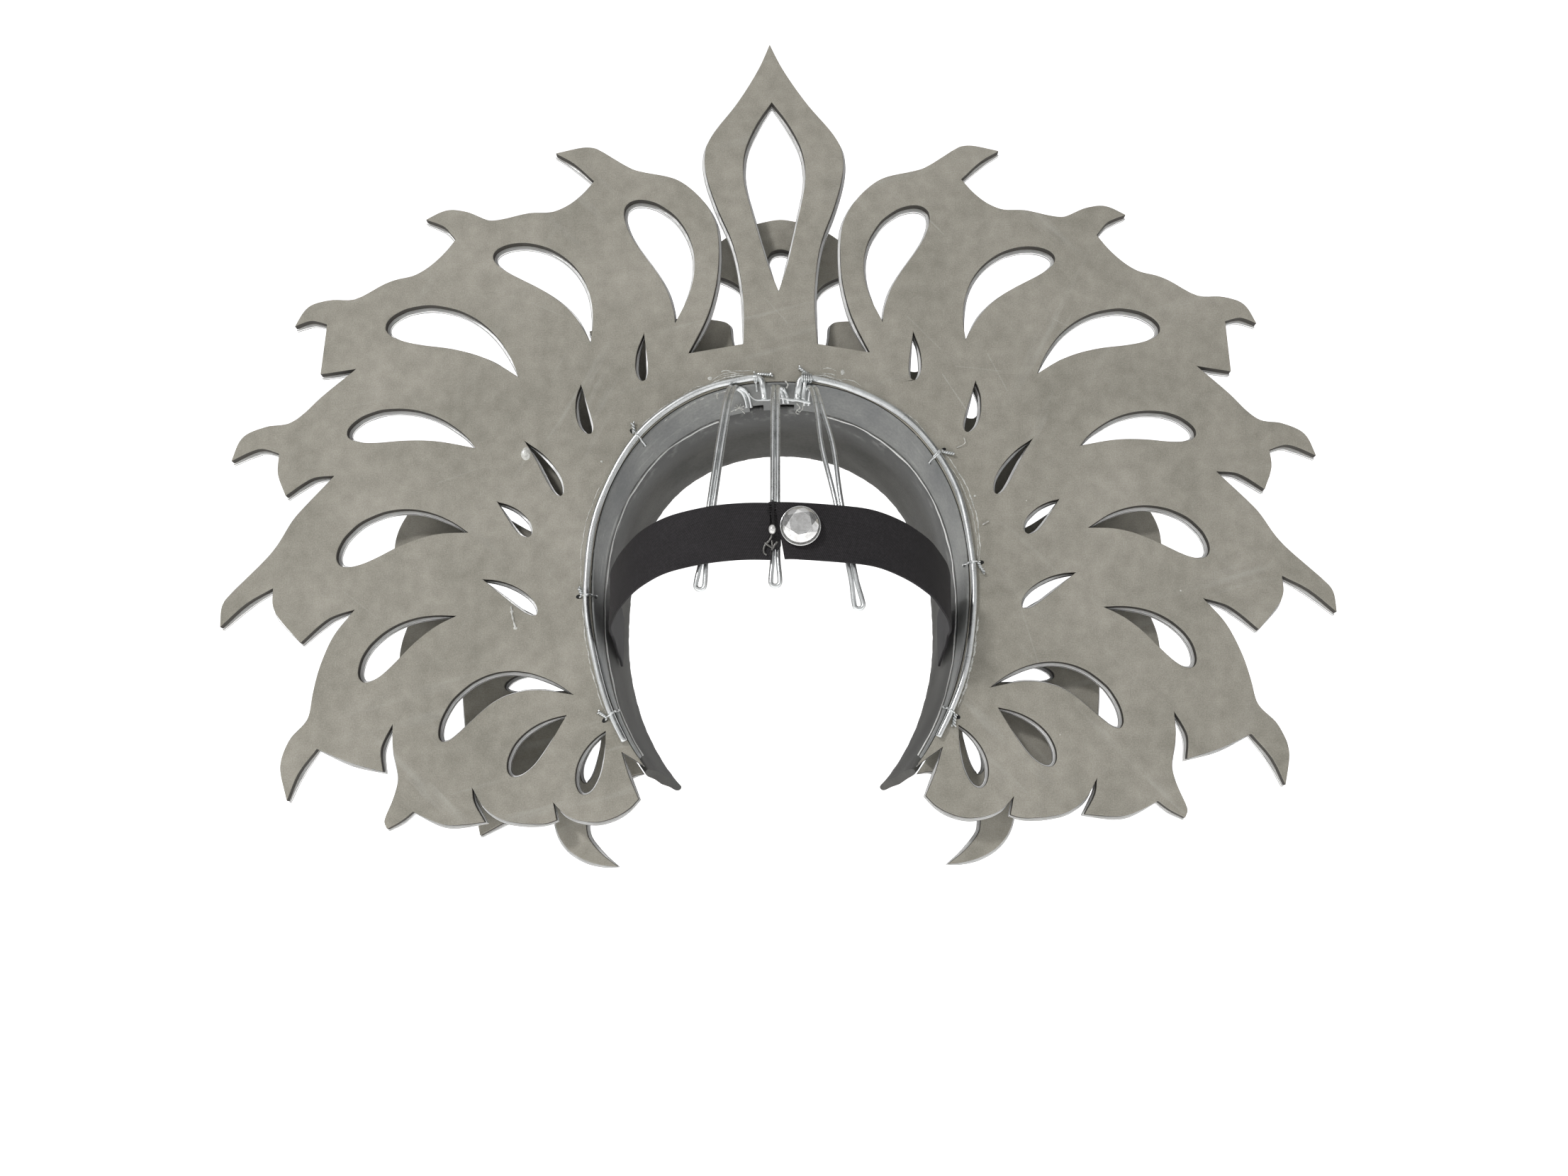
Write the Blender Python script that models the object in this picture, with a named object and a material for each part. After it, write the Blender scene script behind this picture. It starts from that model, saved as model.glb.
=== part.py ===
"""Carnival crown: two pierced leaf-edged foam plates on a padded head ring, seen mostly from behind.

The wearer faces -Y, the plates stand in the XZ plane, +Z is up and +X is the wearer's left.
The origin is the middle of the head opening, on the back face of the rear plate.
"""
import math

import bmesh
import bpy
import numpy as np

# Clearance kept between pieces that touch
GAP = 0.0003

# Wire hoop line, an egg-shaped arch round the head opening
HOOP_HALF_WIDTH = 0.103
HOOP_TOP = 0.114
HOOP_BOTTOM = 0.140
HOOP_FULLNESS = 2.2
HOOP_WIRE = 0.0035
HOOP_TOP_GAP = 0.021
HOOP_END_ANGLE = 138.0
HOOP_STUB = 0.012
HOOP_SHOULDER_ANGLE = 1.2

# Rear plate: the inner oval that its lobes are measured from, and the outer one that their tips reach
ROOT_HALF_WIDTH = 0.103
ROOT_TOP = 0.114
ROOT_BOTTOM = 0.132
PLATE_HALF_WIDTH = 0.300
PLATE_TOP = 0.270
PLATE_BOTTOM = 0.220
FOAM = 0.005
FACING = 0.003
FACING_LIP = 0.0005
OPENING_INSET = 0.002
PLATE_FOOT_ANGLE = 144.0
RIGHT_WINDOW_SHARE = 0.965

# Spear that rises from the middle of the rear plate
SPEAR_FOOT_HEIGHT = 0.134
SPEAR_HEIGHT = 0.182
SPEAR_HALF_WIDTH = 0.0385
SPEAR_LEAN_ANGLE = 2.0

# Front plate, a smaller tier that stands in front of the rear plate
TIER_STEP = 0.020
FRONT_HALF_WIDTH = 0.212
FRONT_TOP = 0.215
FRONT_BOTTOM = 0.178
FRONT_FOOT_ANGLE = 144.0
ARCH_FOOT_HEIGHT = 0.125
ARCH_HEIGHT = 0.092
ARCH_HALF_WIDTH = 0.044

# Sloping collar between the two plates, and the head band in front of it
COLLAR_TAPER = 0.0085
COLLAR_FADE_FROM_ANGLE = 30.0
COLLAR_FADE_OVER_ANGLE = 100.0
COLLAR_BACK_WALL = 0.0012
COLLAR_FRONT_WALL = 0.002
COLLAR_FOOT_ANGLE = 141.0
COLLAR_PIPING = 0.0016
PIPING_START_ANGLES = (20.0, 14.0)
ARCH_STEPS = 37
BAND_WALL = 0.004
BAND_DEPTH = 0.065
BAND_TAPER = 0.009
BAND_BACK_FOOT_ANGLE = 144.0
BAND_FRONT_FOOT_ANGLE = 151.0

# Foam blocks that hold the tiers apart
SPACER_LENGTH = 0.022
SPACER_WIDTH = 0.012
SPACER_INSET = 0.004
SPACER_ANGLES = (14.0, 42.0, 71.0, 106.0)

# Hairpin prongs that reach down over the back of the head
PRONG_WIRE = 0.0026
PRONG_PITCH = 0.003
PRONG_LOOP_PITCH = 0.0042
PRONG_TUCK = 0.008
PRONG_STRAP_CLEARANCE = 0.0009

# Elastic strap round the back of the head
STRAP_WIDTH = 0.028
STRAP_THICKNESS = 0.0015
STRAP_REACH = 0.092
STRAP_SIDE_INSET = 0.0035
STRAP_CENTRE_HEIGHT = 0.0045
STRAP_SIDE_HEIGHT = -0.013
STRAP_END_HEIGHT = -0.024
STRAP_TUCK = 0.030
STRAP_JOIN_OFFSET = 0.0037
STRAP_JOIN_GAP = 0.003

# Binding wire, clasp and button
TIE_WIRE = 0.0011
TIE_TAIL = 0.007
LINK_WIRE = 0.0011
LINK_BEND = 0.0015
CLASP_BEAD = 0.0048
CLASP_WIRE = 0.0012
BUTTON_RADIUS = 0.0098
BUTTON_HEIGHT = 0.0055
BUTTON_SIDES = 12
BUTTON_OFFSET = 0.0134
BUTTON_RAISE = 0.002
BUTTON_CUP_WALL = 0.0008
BUTTON_CUP_HEIGHT = 0.0019

# Outlines are drawn finely and then thinned to this error
OUTLINE_ERROR = 0.00035

# The right-hand lobes were cut a little higher and shorter than the left-hand ones:
# angle, degrees of turn towards the top, and share of the reach
RIGHT_COLUMNS = ("angle", "turn", "share")
REAR_RIGHT_CUT = ((0.0, 0.0, 1.0), (25.0, 0.8, 1.0), (45.0, 1.2, 0.995), (60.0, 0.8, 0.985), (75.0, 0.8, 0.968),
                  (92.0, 1.5, 0.985), (115.0, 2.1, 1.0), (130.0, 1.8, 1.0), (150.0, 1.0, 1.0))
FRONT_RIGHT_CUT = ((0.0, 0.0, 1.0), (12.0, 0.2, 1.0), (20.0, 0.3, 0.93), (36.0, 0.5, 0.92), (48.0, 0.65, 0.98),
                   (60.0, 0.8, 0.98), (92.0, 1.5, 0.98), (115.0, 2.1, 0.98), (124.0, 2.0, 0.93),
                   (130.0, 2.4, 0.86), (136.0, 1.8, 1.0), (150.0, 1.0, 1.0))

# Hooked lobes of the rear plate, one row each from the spear outwards and down.
# Each entry is an angle in degrees from straight up, and a reach: 0 on the hoop line, 1 on the outer oval.
LOBE_COLUMNS = ("notch", "rise", "belly", "back", "shoulder", "neck", "crown", "tip",
                "under", "throat", "flank", "heel", "cut")
REAR_LOBES = (
    ((21.5, 0.16), (14.6, 0.28), (10.8, 0.45), (10.2, 0.63), (13.7, 0.785), (19.4, 0.875), (23.0, 0.995),
     (27.2, 1.02), (25.8, 0.96), (24.5, 0.872), (26.8, 0.84), (29.2, 0.823), None),
    ((31.5, 0.828), (33.0, 0.85), (35.0, 0.87), (37.0, 0.885), (38.3, 0.905), (39.3, 0.955), (41.2, 1.01),
     (43.8, 1.025), (42.8, 0.965), (42.9, 0.91), (45.0, 0.895), (47.5, 0.89), None),
    ((49.5, 0.9), (51.2, 0.928), (53.2, 0.952), (54.8, 0.965), (56.0, 0.98), (57.0, 1.02), (59.2, 1.07),
     (61.8, 1.065), (60.4, 1.035), (59.9, 0.99), (62.3, 0.952), (65.3, 0.915), (64.2, 0.875)),
    ((62.9, 0.835), (65.4, 0.855), (68.0, 0.88), (70.3, 0.9), (71.8, 0.925), (72.9, 0.98), (74.7, 1.03),
     (77.4, 1.035), (75.4, 0.97), (75.4, 0.915), (77.5, 0.9), (80.0, 0.858), (77.3, 0.8)),
    ((76.4, 0.745), (79.7, 0.785), (82.7, 0.822), (85.7, 0.85), (88.2, 0.89), (90.2, 0.937), (92.4, 0.985),
     (94.8, 0.995), (92.4, 0.92), (90.8, 0.85), (93.2, 0.848), (97.5, 0.785), (94.8, 0.7)),
    ((93.9, 0.63), (96.9, 0.69), (100.3, 0.742), (103.9, 0.79), (106.6, 0.83), (108.1, 0.895), (110.6, 0.96),
     (114.5, 1.005), (112.2, 0.93), (110.3, 0.845), (113.3, 0.785), (116.1, 0.72), (113.2, 0.685)),
    ((110.7, 0.62), (113.7, 0.655), (116.0, 0.675), (118.0, 0.7), (119.4, 0.735), (120.6, 0.775), (121.8, 0.82),
     (122.8, 0.832), (122.9, 0.78), (122.7, 0.732), (126.6, 0.69), (129.8, 0.592), (126.4, 0.567)),
)

# Plain lobes at the bottom of the rear plate
SKIRT_COLUMNS = ("notch", "rise", "belly", "run", "turn", "heel", "cut")
REAR_SKIRT = (
    ((124.4, 0.538), (127.6, 0.556), (131.2, 0.546), (134.4, 0.498), (136.5, 0.455), (137.5, 0.418), (136.2, 0.395)),
    ((134.9, 0.376), (138.4, 0.38), (143.0, 0.33), (145.6, 0.26), (147.0, 0.19), (147.5, 0.134), (142.5, 0.09)),
)
REAR_FOOT = (137.7, 0.052)

# Comma-shaped windows of the rear plate and the small slits near the opening.
# tip and head are the two ends, width is a share of the length, bow is the sideways bend as a share of the
# length, full is where along the length the window is widest, and taper is how thin the tail runs.
WINDOW_COLUMNS = ("tip", "head", "width", "bow", "full", "taper")
REAR_WINDOWS = (
    ((21.7, 0.28), (21.8, 0.748), 0.37, -0.165, 0.68, 1.1),
    ((37.8, 0.36), (40.8, 0.79), 0.31, -0.205, 0.68, 0.95),
    ((51.4, 0.428), (56.8, 0.84), 0.3, -0.165, 0.7, 0.95),
    ((65.9, 0.405), (71.0, 0.755), 0.265, -0.135, 0.7, 0.8),
    ((80.9, 0.34), (87.8, 0.675), 0.31, -0.175, 0.7, 0.95),
    ((96.2, 0.358), (103.8, 0.648), 0.275, -0.13, 0.72, 1.05),
    ((119.2, 0.1), (115.8, 0.522), 0.215, -0.25, 0.74, 0.85),
    ((122.6, 0.148), (126.6, 0.415), 0.36, -0.07, 0.64, 1.0),
    ((131.2, 0.058), (138.0, 0.275), 0.38, -0.05, 0.62, 0.9),
    ((28.3, 0.29), (33.8, 0.15), 0.25, -0.04, 0.72, 1.0),
    ((44.8, 0.268), (51.4, 0.14), 0.27, -0.08, 0.72, 0.9),
    ((60.7, 0.29), (68.2, 0.122), 0.21, 0.06, 0.74, 1.0),
    ((74.0, 0.284), (79.6, 0.172), 0.34, 0.06, 0.7, 0.9),
    ((89.6, 0.283), (97.9, 0.142), 0.25, 0.07, 0.7, 0.9),
)

# Spear and arch outlines: height share from the foot, then half width share
SPEAR_OUTLINE = ((0.0, 0.53), (0.06, 0.515), (0.13, 0.51), (0.2, 0.535), (0.27, 0.58), (0.34, 0.66), (0.42, 0.81),
                 (0.48, 0.905), (0.54, 0.985), (0.595, 1.02), (0.65, 0.985), (0.7, 0.86), (0.74, 0.715),
                 (0.78, 0.57), (0.84, 0.385), (0.885, 0.255), (0.94, 0.12), (1.0, 0.0))
SPEAR_WINDOW = ((0.17, 0.0), (0.245, 0.125), (0.32, 0.215), (0.39, 0.3), (0.45, 0.37), (0.52, 0.44), (0.58, 0.455),
                (0.645, 0.405), (0.695, 0.305), (0.74, 0.195), (0.8, 0.0))
ARCH_OUTLINE = ((0.0, 0.39), (0.25, 0.39), (0.45, 0.41), (0.54, 0.5), (0.6, 0.68), (0.64, 1.0))
ARCH_CAP = ((0.64, 1.0), (0.77, 0.93), (0.89, 0.68), (0.965, 0.36), (1.0, 0.0))
ARCH_WINDOW = ((0.28, 0.0), (0.42, 0.075), (0.56, 0.14), (0.67, 0.18), (0.74, 0.175), (0.785, 0.115), (0.8, 0.0))

# Front plate, in the same columns
FRONT_LOBES = (
    ((10.0, 0.2), (10.4, 0.3), (10.9, 0.38), (10.8, 0.455), (14.5, 0.505), (22.0, 0.575), (29.5, 0.66),
     (36.0, 0.725), (36.3, 0.66), (37.0, 0.6), (40.0, 0.565), (43.0, 0.545), None),
    ((45.5, 0.55), (48.0, 0.575), (50.5, 0.605), (53.0, 0.635), (55.5, 0.665), (58.0, 0.7), (61.3, 0.755),
     (65.6, 0.785), (65.6, 0.76), (66.0, 0.74), (67.5, 0.75), (69.2, 0.765), (69.0, 0.73)),
    ((69.2, 0.69), (69.9, 0.735), (71.2, 0.79), (73.0, 0.85), (75.0, 0.91), (78.0, 0.975), (82.2, 1.01),
     (87.0, 1.0), (85.4, 0.945), (84.8, 0.885), (87.0, 0.855), (90.5, 0.83), (89.3, 0.775)),
    ((88.3, 0.73), (90.2, 0.785), (92.2, 0.845), (94.3, 0.9), (96.6, 0.94), (99.0, 0.975), (101.8, 1.0),
     (105.6, 1.03), (104.0, 0.96), (102.8, 0.88), (104.8, 0.83), (107.2, 0.78), (105.6, 0.73)),
    ((104.4, 0.68), (106.2, 0.71), (108.6, 0.735), (111.5, 0.76), (115.0, 0.805), (119.0, 0.87), (124.5, 0.99),
     (130.0, 1.14), (130.4, 1.05), (130.9, 0.95), (131.4, 0.86), (132.0, 0.76), None),
    ((132.6, 0.7), (134.2, 0.69), (136.6, 0.75), (139.2, 0.82), (142.0, 0.858), (145.2, 0.855), (148.2, 0.815),
     (150.2, 0.77), (146.6, 0.742), (142.8, 0.685), (141.0, 0.61), (140.4, 0.47), (140.8, 0.25)),
)
FRONT_FOOT = (142.0, 0.1)
FRONT_WINDOWS = (
    ((77.0, 0.33), (72.4, 0.6), 0.34, -0.06, 0.66, 0.9),
    ((97.0, 0.27), (87.6, 0.6), 0.32, -0.08, 0.66, 0.9),
    ((118.0, 0.1), (110.0, 0.52), 0.25, -0.08, 0.68, 0.8),
    ((130.0, 0.12), (135.4, 0.4), 0.32, -0.06, 0.64, 0.9),
)
# Two slits of the front plate's right half, behind the rear plate's two upper slits
FRONT_RIGHT_SLITS = (
    ((27.2, 0.585), (31.6, 0.413), 0.56, 0.0, 0.72, 0.9),
    ((43.8, 0.517), (47.8, 0.378), 0.62, 0.0, 0.72, 0.9),
)

# Binding ties: angle along the hoop on the left and the right
TIE_ANGLES = ((6.9, 44.0, 94.5, 129.0), (7.2, 50.5, 84.5, 128.0))

# Bend of each hoop half's top end into the opening, from its tip up: share of the half gap sideways,
# share of the stub's length down, and share of the resting height behind the plate
STUB_BEND = ((0.86, 1.0, 0.0), (0.87, 0.8, 0.0), (0.93, 0.5, 0.8), (0.99, 0.2, 1.0))

# Link wire that lies against the tips of both stubs: sideways in shares of a stub's place, down in link bends
LINK_PATH = ((1.9, -2.4), (1.7, -0.6), (1.35, 0.1), (1.0, 0.0), (0.7, 0.0), (0.35, -0.5), (0.0, -0.7),
             (-0.35, -0.5), (-0.7, 0.0), (-1.0, 0.0), (-1.4, 0.6), (-1.8, 1.1))

# Clasp hook below its bead: sideways in shares of its reach, down in shares of the strap's width
HOOK_PATH = ((1.0, 0.0), (0.0, 0.0), (-0.9, 0.03), (-0.9, 0.09), (0.0, 0.13), (0.9, 0.17), (0.9, 0.23),
             (0.0, 0.26), (-0.7, 0.26))

# Button stone: share of its radius, share of the button's height, and turn in facets
STONE_PROFILE = ((0.8, 0.0, 0.0), (1.0, 0.3, 0.0), (1.0, 0.4, 0.0), (0.78, 0.75, 0.5), (0.5, 0.95, 0.0))

# Prong way: shares of the tuck at the collar, then shares of the quarter turn down the back of the head
PRONG_ENTRY = (1.0, 0.4, -0.25)
PRONG_TURNS = (0.22, 0.36, 0.5, 0.64, 0.76, 0.88, 1.0)

# Prongs: sideways place of the top and of the end, and the height of the end
PRONGS = (
    ("prong_left", 0.0265, 0.0385, -0.019),
    ("prong_centre", 0.0033, 0.0022, -0.0195),
    ("prong_right", -0.0178, -0.0378, -0.0285),
)


def oval_radius(angle, half_width, top, bottom, fullness=2.0):
    """Distance from the middle to an oval whose lower half has its own height; angle in degrees from up.

    A fullness of 2 is an ellipse, and a higher one fills the upper corners out.
    """
    turn = np.radians(angle)
    upper = np.cos(turn) >= 0.0
    height = np.where(upper, top, bottom)
    power = np.where(upper, fullness, 2.0)
    wide = np.abs(np.sin(turn)) / half_width
    high = np.abs(np.cos(turn)) / height
    return (wide**power + high**power) ** (-1.0 / power)


def lobe_root_radius(angle):
    """Distance from the middle to the oval that the reach of the rear plate's lobes starts from."""
    return oval_radius(angle, ROOT_HALF_WIDTH, ROOT_TOP, ROOT_BOTTOM)


def hoop_radius(angle):
    """Distance from the middle to the hoop line."""
    return oval_radius(angle, HOOP_HALF_WIDTH, HOOP_TOP, HOOP_BOTTOM, HOOP_FULLNESS)


def opening_radius(angle):
    """Distance from the middle to the cut edge of the rear plate's head opening."""
    return hoop_radius(angle) - OPENING_INSET


def passage_radius(angle, depth):
    """Inner surface of the collar and the head band at a depth in front of the rear plate's back face."""
    fade = np.clip(1.0 - (angle - COLLAR_FADE_FROM_ANGLE) / COLLAR_FADE_OVER_ANGLE, 0.0, 1.0)
    collar = COLLAR_TAPER * fade * min(depth / TIER_STEP, 1.0)
    band = BAND_TAPER * max(depth - TIER_STEP, 0.0) / BAND_DEPTH
    return opening_radius(angle) - GAP - COLLAR_BACK_WALL - collar - band


def at_angle(radius, angle):
    """Point (x, z) at a distance from the middle; a negative angle is on the wearer's right."""
    turn = np.radians(angle)
    return np.array((radius * np.sin(turn), radius * np.cos(turn)))


def spot(place, inner, outer, side, right_cut):
    """Point (x, z) for an angle and a reach between two ovals, with the right-hand cut's small differences."""
    angle, reach = place
    if side < 0:
        columns = dict(zip(RIGHT_COLUMNS, zip(*right_cut)))
        reach *= np.interp(angle, columns["angle"], columns["share"])
        angle -= np.interp(angle, columns["angle"], columns["turn"])
    start = inner(angle)
    return at_angle(start + reach * (outer(angle) - start), side * angle)


def smooth(points, steps=8):
    """Curve through all the points, whose tangent at each follows the line between its neighbours."""
    given = np.array(points, dtype=float)
    if len(given) < 3:
        return given
    ends = np.vstack((2.0 * given[0] - given[1], given, 2.0 * given[-1] - given[-2]))
    span = np.sqrt(np.maximum(np.linalg.norm(np.diff(ends, axis=0), axis=1), 1e-9))
    curve = []
    for i in range(1, len(ends) - 2):
        before, a, b, after = ends[i - 1:i + 3]
        d0, d1, d2 = span[i - 1:i + 2]
        pull_a = ((a - before) / d0 - (b - before) / (d0 + d1)) * d1 + (b - a)
        pull_b = ((after - b) / d2 - (after - a) / (d1 + d2)) * d1 + (b - a)
        for t in np.linspace(0.0, 1.0, steps, endpoint=False):
            curve.append((2 * t**3 - 3 * t**2 + 1) * a + (t**3 - 2 * t**2 + t) * pull_a
                         + (3 * t**2 - 2 * t**3) * b + (t**3 - t**2) * pull_b)
    curve.append(given[-1])
    return np.array(curve)


def thin(points, error):
    """Drop the points that a straight line between the kept ones misses by less than the error."""
    keep = np.zeros(len(points), dtype=bool)
    keep[[0, -1]] = True
    spans = [(0, len(points) - 1)]
    while spans:
        first, last = spans.pop()
        if last - first < 2:
            continue
        chord = points[last] - points[first]
        inner = points[first + 1:last] - points[first]
        length = max(np.linalg.norm(chord), 1e-9)
        miss = np.abs(inner[:, 0] * chord[1] - inner[:, 1] * chord[0]) / length
        far = int(np.argmax(miss))
        if miss[far] > error:
            keep[first + 1 + far] = True
            spans += [(first, first + 1 + far), (first + 1 + far, last)]
    return points[keep]


def join_strokes(strokes):
    """One chain of points from strokes that each start where the last one ended."""
    parts = [thin(smooth(stroke), OUTLINE_ERROR) for stroke in strokes]
    return np.vstack([part[:-1] for part in parts[:-1]] + [parts[-1]])


def lobe_strokes(lobes, skirt, foot, inner, outer, side, right_cut):
    """Smooth strokes of one half's leaf edge, broken at each notch, tip, throat and heel."""
    def place(entry):
        return spot(entry, inner, outer, side, right_cut)

    strokes = []
    run = []
    for row in lobes:
        cell = dict(zip(LOBE_COLUMNS, row))
        run += [place(cell[name]) for name in LOBE_COLUMNS[:8]]
        strokes += [run, [place(cell[name]) for name in ("tip", "under", "throat")]]
        run = [place(cell[name]) for name in ("throat", "flank", "heel")]
        if cell["cut"] is None:
            continue
        strokes.append(run)
        follower = foot_of(lobes, skirt, foot, row)
        strokes.append([place(cell["heel"]), place(cell["cut"]), place(follower)])
        run = []
    for row in skirt:
        cell = dict(zip(SKIRT_COLUMNS, row))
        strokes.append([place(cell[name]) for name in SKIRT_COLUMNS[:6]])
        follower = foot_of(skirt, (), foot, row)
        strokes.append([place(cell["heel"]), place(cell["cut"]), place(follower)])
    return strokes


def foot_of(rows, later_rows, foot, row):
    """The notch that a row's lower edge runs to: the next row's, the next table's or the plate's foot."""
    order = list(rows) + list(later_rows)
    following = order.index(row) + 1
    return order[following][0] if following < len(order) else foot


def spire(table, foot_height, height, half_width, lean, side):
    """Half outline of an upright motif from its table of shares; lean moves it sideways as it rises."""
    return np.array([(side * half_width * wide + lean * height * high, foot_height + height * high)
                     for high, wide in table])


def plate_loop(centre_strokes, lobes, skirt, foot, foot_angle, inner, outer, cut_radius, right_cut):
    """Closed outline of a plate, and a mask of the points that lie on its head opening."""
    halves = []
    for side in (1, -1):
        strokes = centre_strokes(side) + lobe_strokes(lobes, skirt, foot, inner, outer, side, right_cut)
        halves.append(join_strokes(strokes))
    angles = np.linspace(foot_angle, -foot_angle, 49)
    arc = np.array([at_angle(cut_radius(abs(angle)), angle) for angle in angles])
    arc = thin(arc, OUTLINE_ERROR)
    left, right = halves
    loop = np.vstack((left, arc, right[::-1][:-1]))
    on_opening = np.zeros(len(loop), dtype=bool)
    on_opening[len(left):len(left) + len(arc)] = True
    return loop, on_opening


def window_loop(row, inner, outer, side, right_cut):
    """Closed comma: a bent axis with a thin tail from the tip and a round head at the other end."""
    cell = dict(zip(WINDOW_COLUMNS, row))
    tip = spot(cell["tip"], inner, outer, side, right_cut)
    head_angle, head_reach = cell["head"]
    share = RIGHT_WINDOW_SHARE if side < 0 else 1.0
    head = spot((head_angle, head_reach * share), inner, outer, side, right_cut)
    chord = head - tip
    across = np.array((chord[1], -chord[0])) * side
    bend = 0.5 * (tip + head) + 2.0 * cell["bow"] * across
    t = np.sin(np.linspace(0.0, 0.5 * math.pi, 21))
    axis = ((1 - t)**2)[:, None] * tip + (2 * t * (1 - t))[:, None] * bend + (t**2)[:, None] * head
    slope = (2 * (1 - t))[:, None] * (bend - tip) + (2 * t)[:, None] * (head - bend)
    normal = np.column_stack((slope[:, 1], -slope[:, 0])) / np.linalg.norm(slope, axis=1)[:, None]
    full = cell["full"]
    tail = np.sin(0.5 * math.pi * np.minimum(t / full, 1.0)) ** cell["taper"]
    round_head = np.sqrt(np.maximum(1.0 - (np.maximum(t - full, 0.0) / (1.0 - full))**2, 0.0))
    half = 0.5 * cell["width"] * np.linalg.norm(chord) * tail * round_head
    one = thin(axis + normal * half[:, None], OUTLINE_ERROR)
    other = thin(axis - normal * half[:, None], OUTLINE_ERROR)
    return np.vstack((one[:-1], other[::-1][:-1]))


def motif_window(table, foot_height, height, half_width, lean):
    """Closed window of an upright motif, from its table of shares."""
    left, right = (thin(smooth(spire(table, foot_height, height, half_width, lean, side)), OUTLINE_ERROR)
                   for side in (1, -1))
    return np.vstack((left[:-1], right[::-1][:-1]))


def spread(loop, lip, held):
    """Move a closed outline outwards by the lip along its corners' mitres, apart from the held points."""
    x, z = loop[:, 0], loop[:, 1]
    area = np.sum(x * np.roll(z, -1) - np.roll(x, -1) * z)
    along = np.roll(loop, -1, axis=0) - loop
    along /= np.linalg.norm(along, axis=1)[:, None]
    out = np.column_stack((along[:, 1], -along[:, 0])) * math.copysign(1.0, area)
    mitre = out + np.roll(out, 1, axis=0)
    mitre /= np.maximum(np.sum(mitre * out, axis=1), 0.5)[:, None]
    return loop + lip * mitre * (~held)[:, None]


def finish_material(name, colour, roughness, metallic=0.0):
    """Principled material with one colour."""
    material = bpy.data.materials.new(name)
    material.use_nodes = True
    shader = material.node_tree.nodes["Principled BSDF"]
    shader.inputs["Base Color"].default_value = (*colour, 1.0)
    shader.inputs["Roughness"].default_value = roughness
    shader.inputs["Metallic"].default_value = metallic
    material.diffuse_color = (*colour, 1.0)
    return material


def add_object(name, data, material):
    """Link a mesh or a curve into the scene under the given name."""
    piece = bpy.data.objects.new(name, data)
    data.materials.append(material)
    bpy.context.collection.objects.link(piece)
    return piece


def add_mesh(name, bm, material, smooth_angle=None):
    """Turn a bmesh into an object with its faces pointing out."""
    bmesh.ops.recalc_face_normals(bm, faces=bm.faces)
    mesh = bpy.data.meshes.new(name)
    bm.to_mesh(mesh)
    bm.free()
    if smooth_angle is not None:
        mesh.shade_smooth()
        mesh.set_sharp_from_angle(angle=smooth_angle)
    return add_object(name, mesh, material)


def add_slab(name, outline, holes, back, front, material):
    """Flat sheet between two depths, cut to an outline and pierced by the holes."""
    bm = bmesh.new()
    edges = []
    for loop in (outline, *holes):
        corners = [bm.verts.new((x, back, z)) for x, z in loop]
        edges += [bm.edges.new((corners[i - 1], corners[i])) for i in range(len(corners))]
    bmesh.ops.triangle_fill(bm, use_beauty=True, edges=edges)
    grown = bmesh.ops.extrude_face_region(bm, geom=bm.faces[:])
    moved = [item for item in grown["geom"] if isinstance(item, bmesh.types.BMVert)]
    bmesh.ops.translate(bm, vec=(0.0, front - back, 0.0), verts=moved)
    return add_mesh(name, bm, material)


def add_arch(name, corners, material):
    """Wall swept round the head opening: each corner gives a depth, a radius for an angle, and a foot angle."""
    bm = bmesh.new()
    rows = []
    for share in np.linspace(-1.0, 1.0, ARCH_STEPS):
        row = []
        for depth, radius, foot in corners:
            x, z = at_angle(radius(abs(share * foot)), share * foot)
            row.append(bm.verts.new((x, -depth, z)))
        rows.append(row)
    count = len(corners)
    for one, other in zip(rows, rows[1:]):
        for i in range(count):
            bm.faces.new((one[i], one[(i + 1) % count], other[(i + 1) % count], other[i]))
    bm.faces.new(rows[0])
    bm.faces.new(rows[-1])
    return add_mesh(name, bm, material, math.radians(40))


def add_wire(name, points, diameter, material, sides=8):
    """Round wire along a path, with closed ends."""
    curve = bpy.data.curves.new(name, "CURVE")
    curve.dimensions = "3D"
    curve.bevel_depth = diameter / 2
    curve.bevel_resolution = (sides - 4) // 2
    curve.use_fill_caps = True
    spline = curve.splines.new("POLY")
    spline.points.add(len(points) - 1)
    for point, place in zip(spline.points, points):
        point.co = (*place, 1.0)
    spline.use_smooth = True
    return add_object(name, curve, material)


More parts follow.
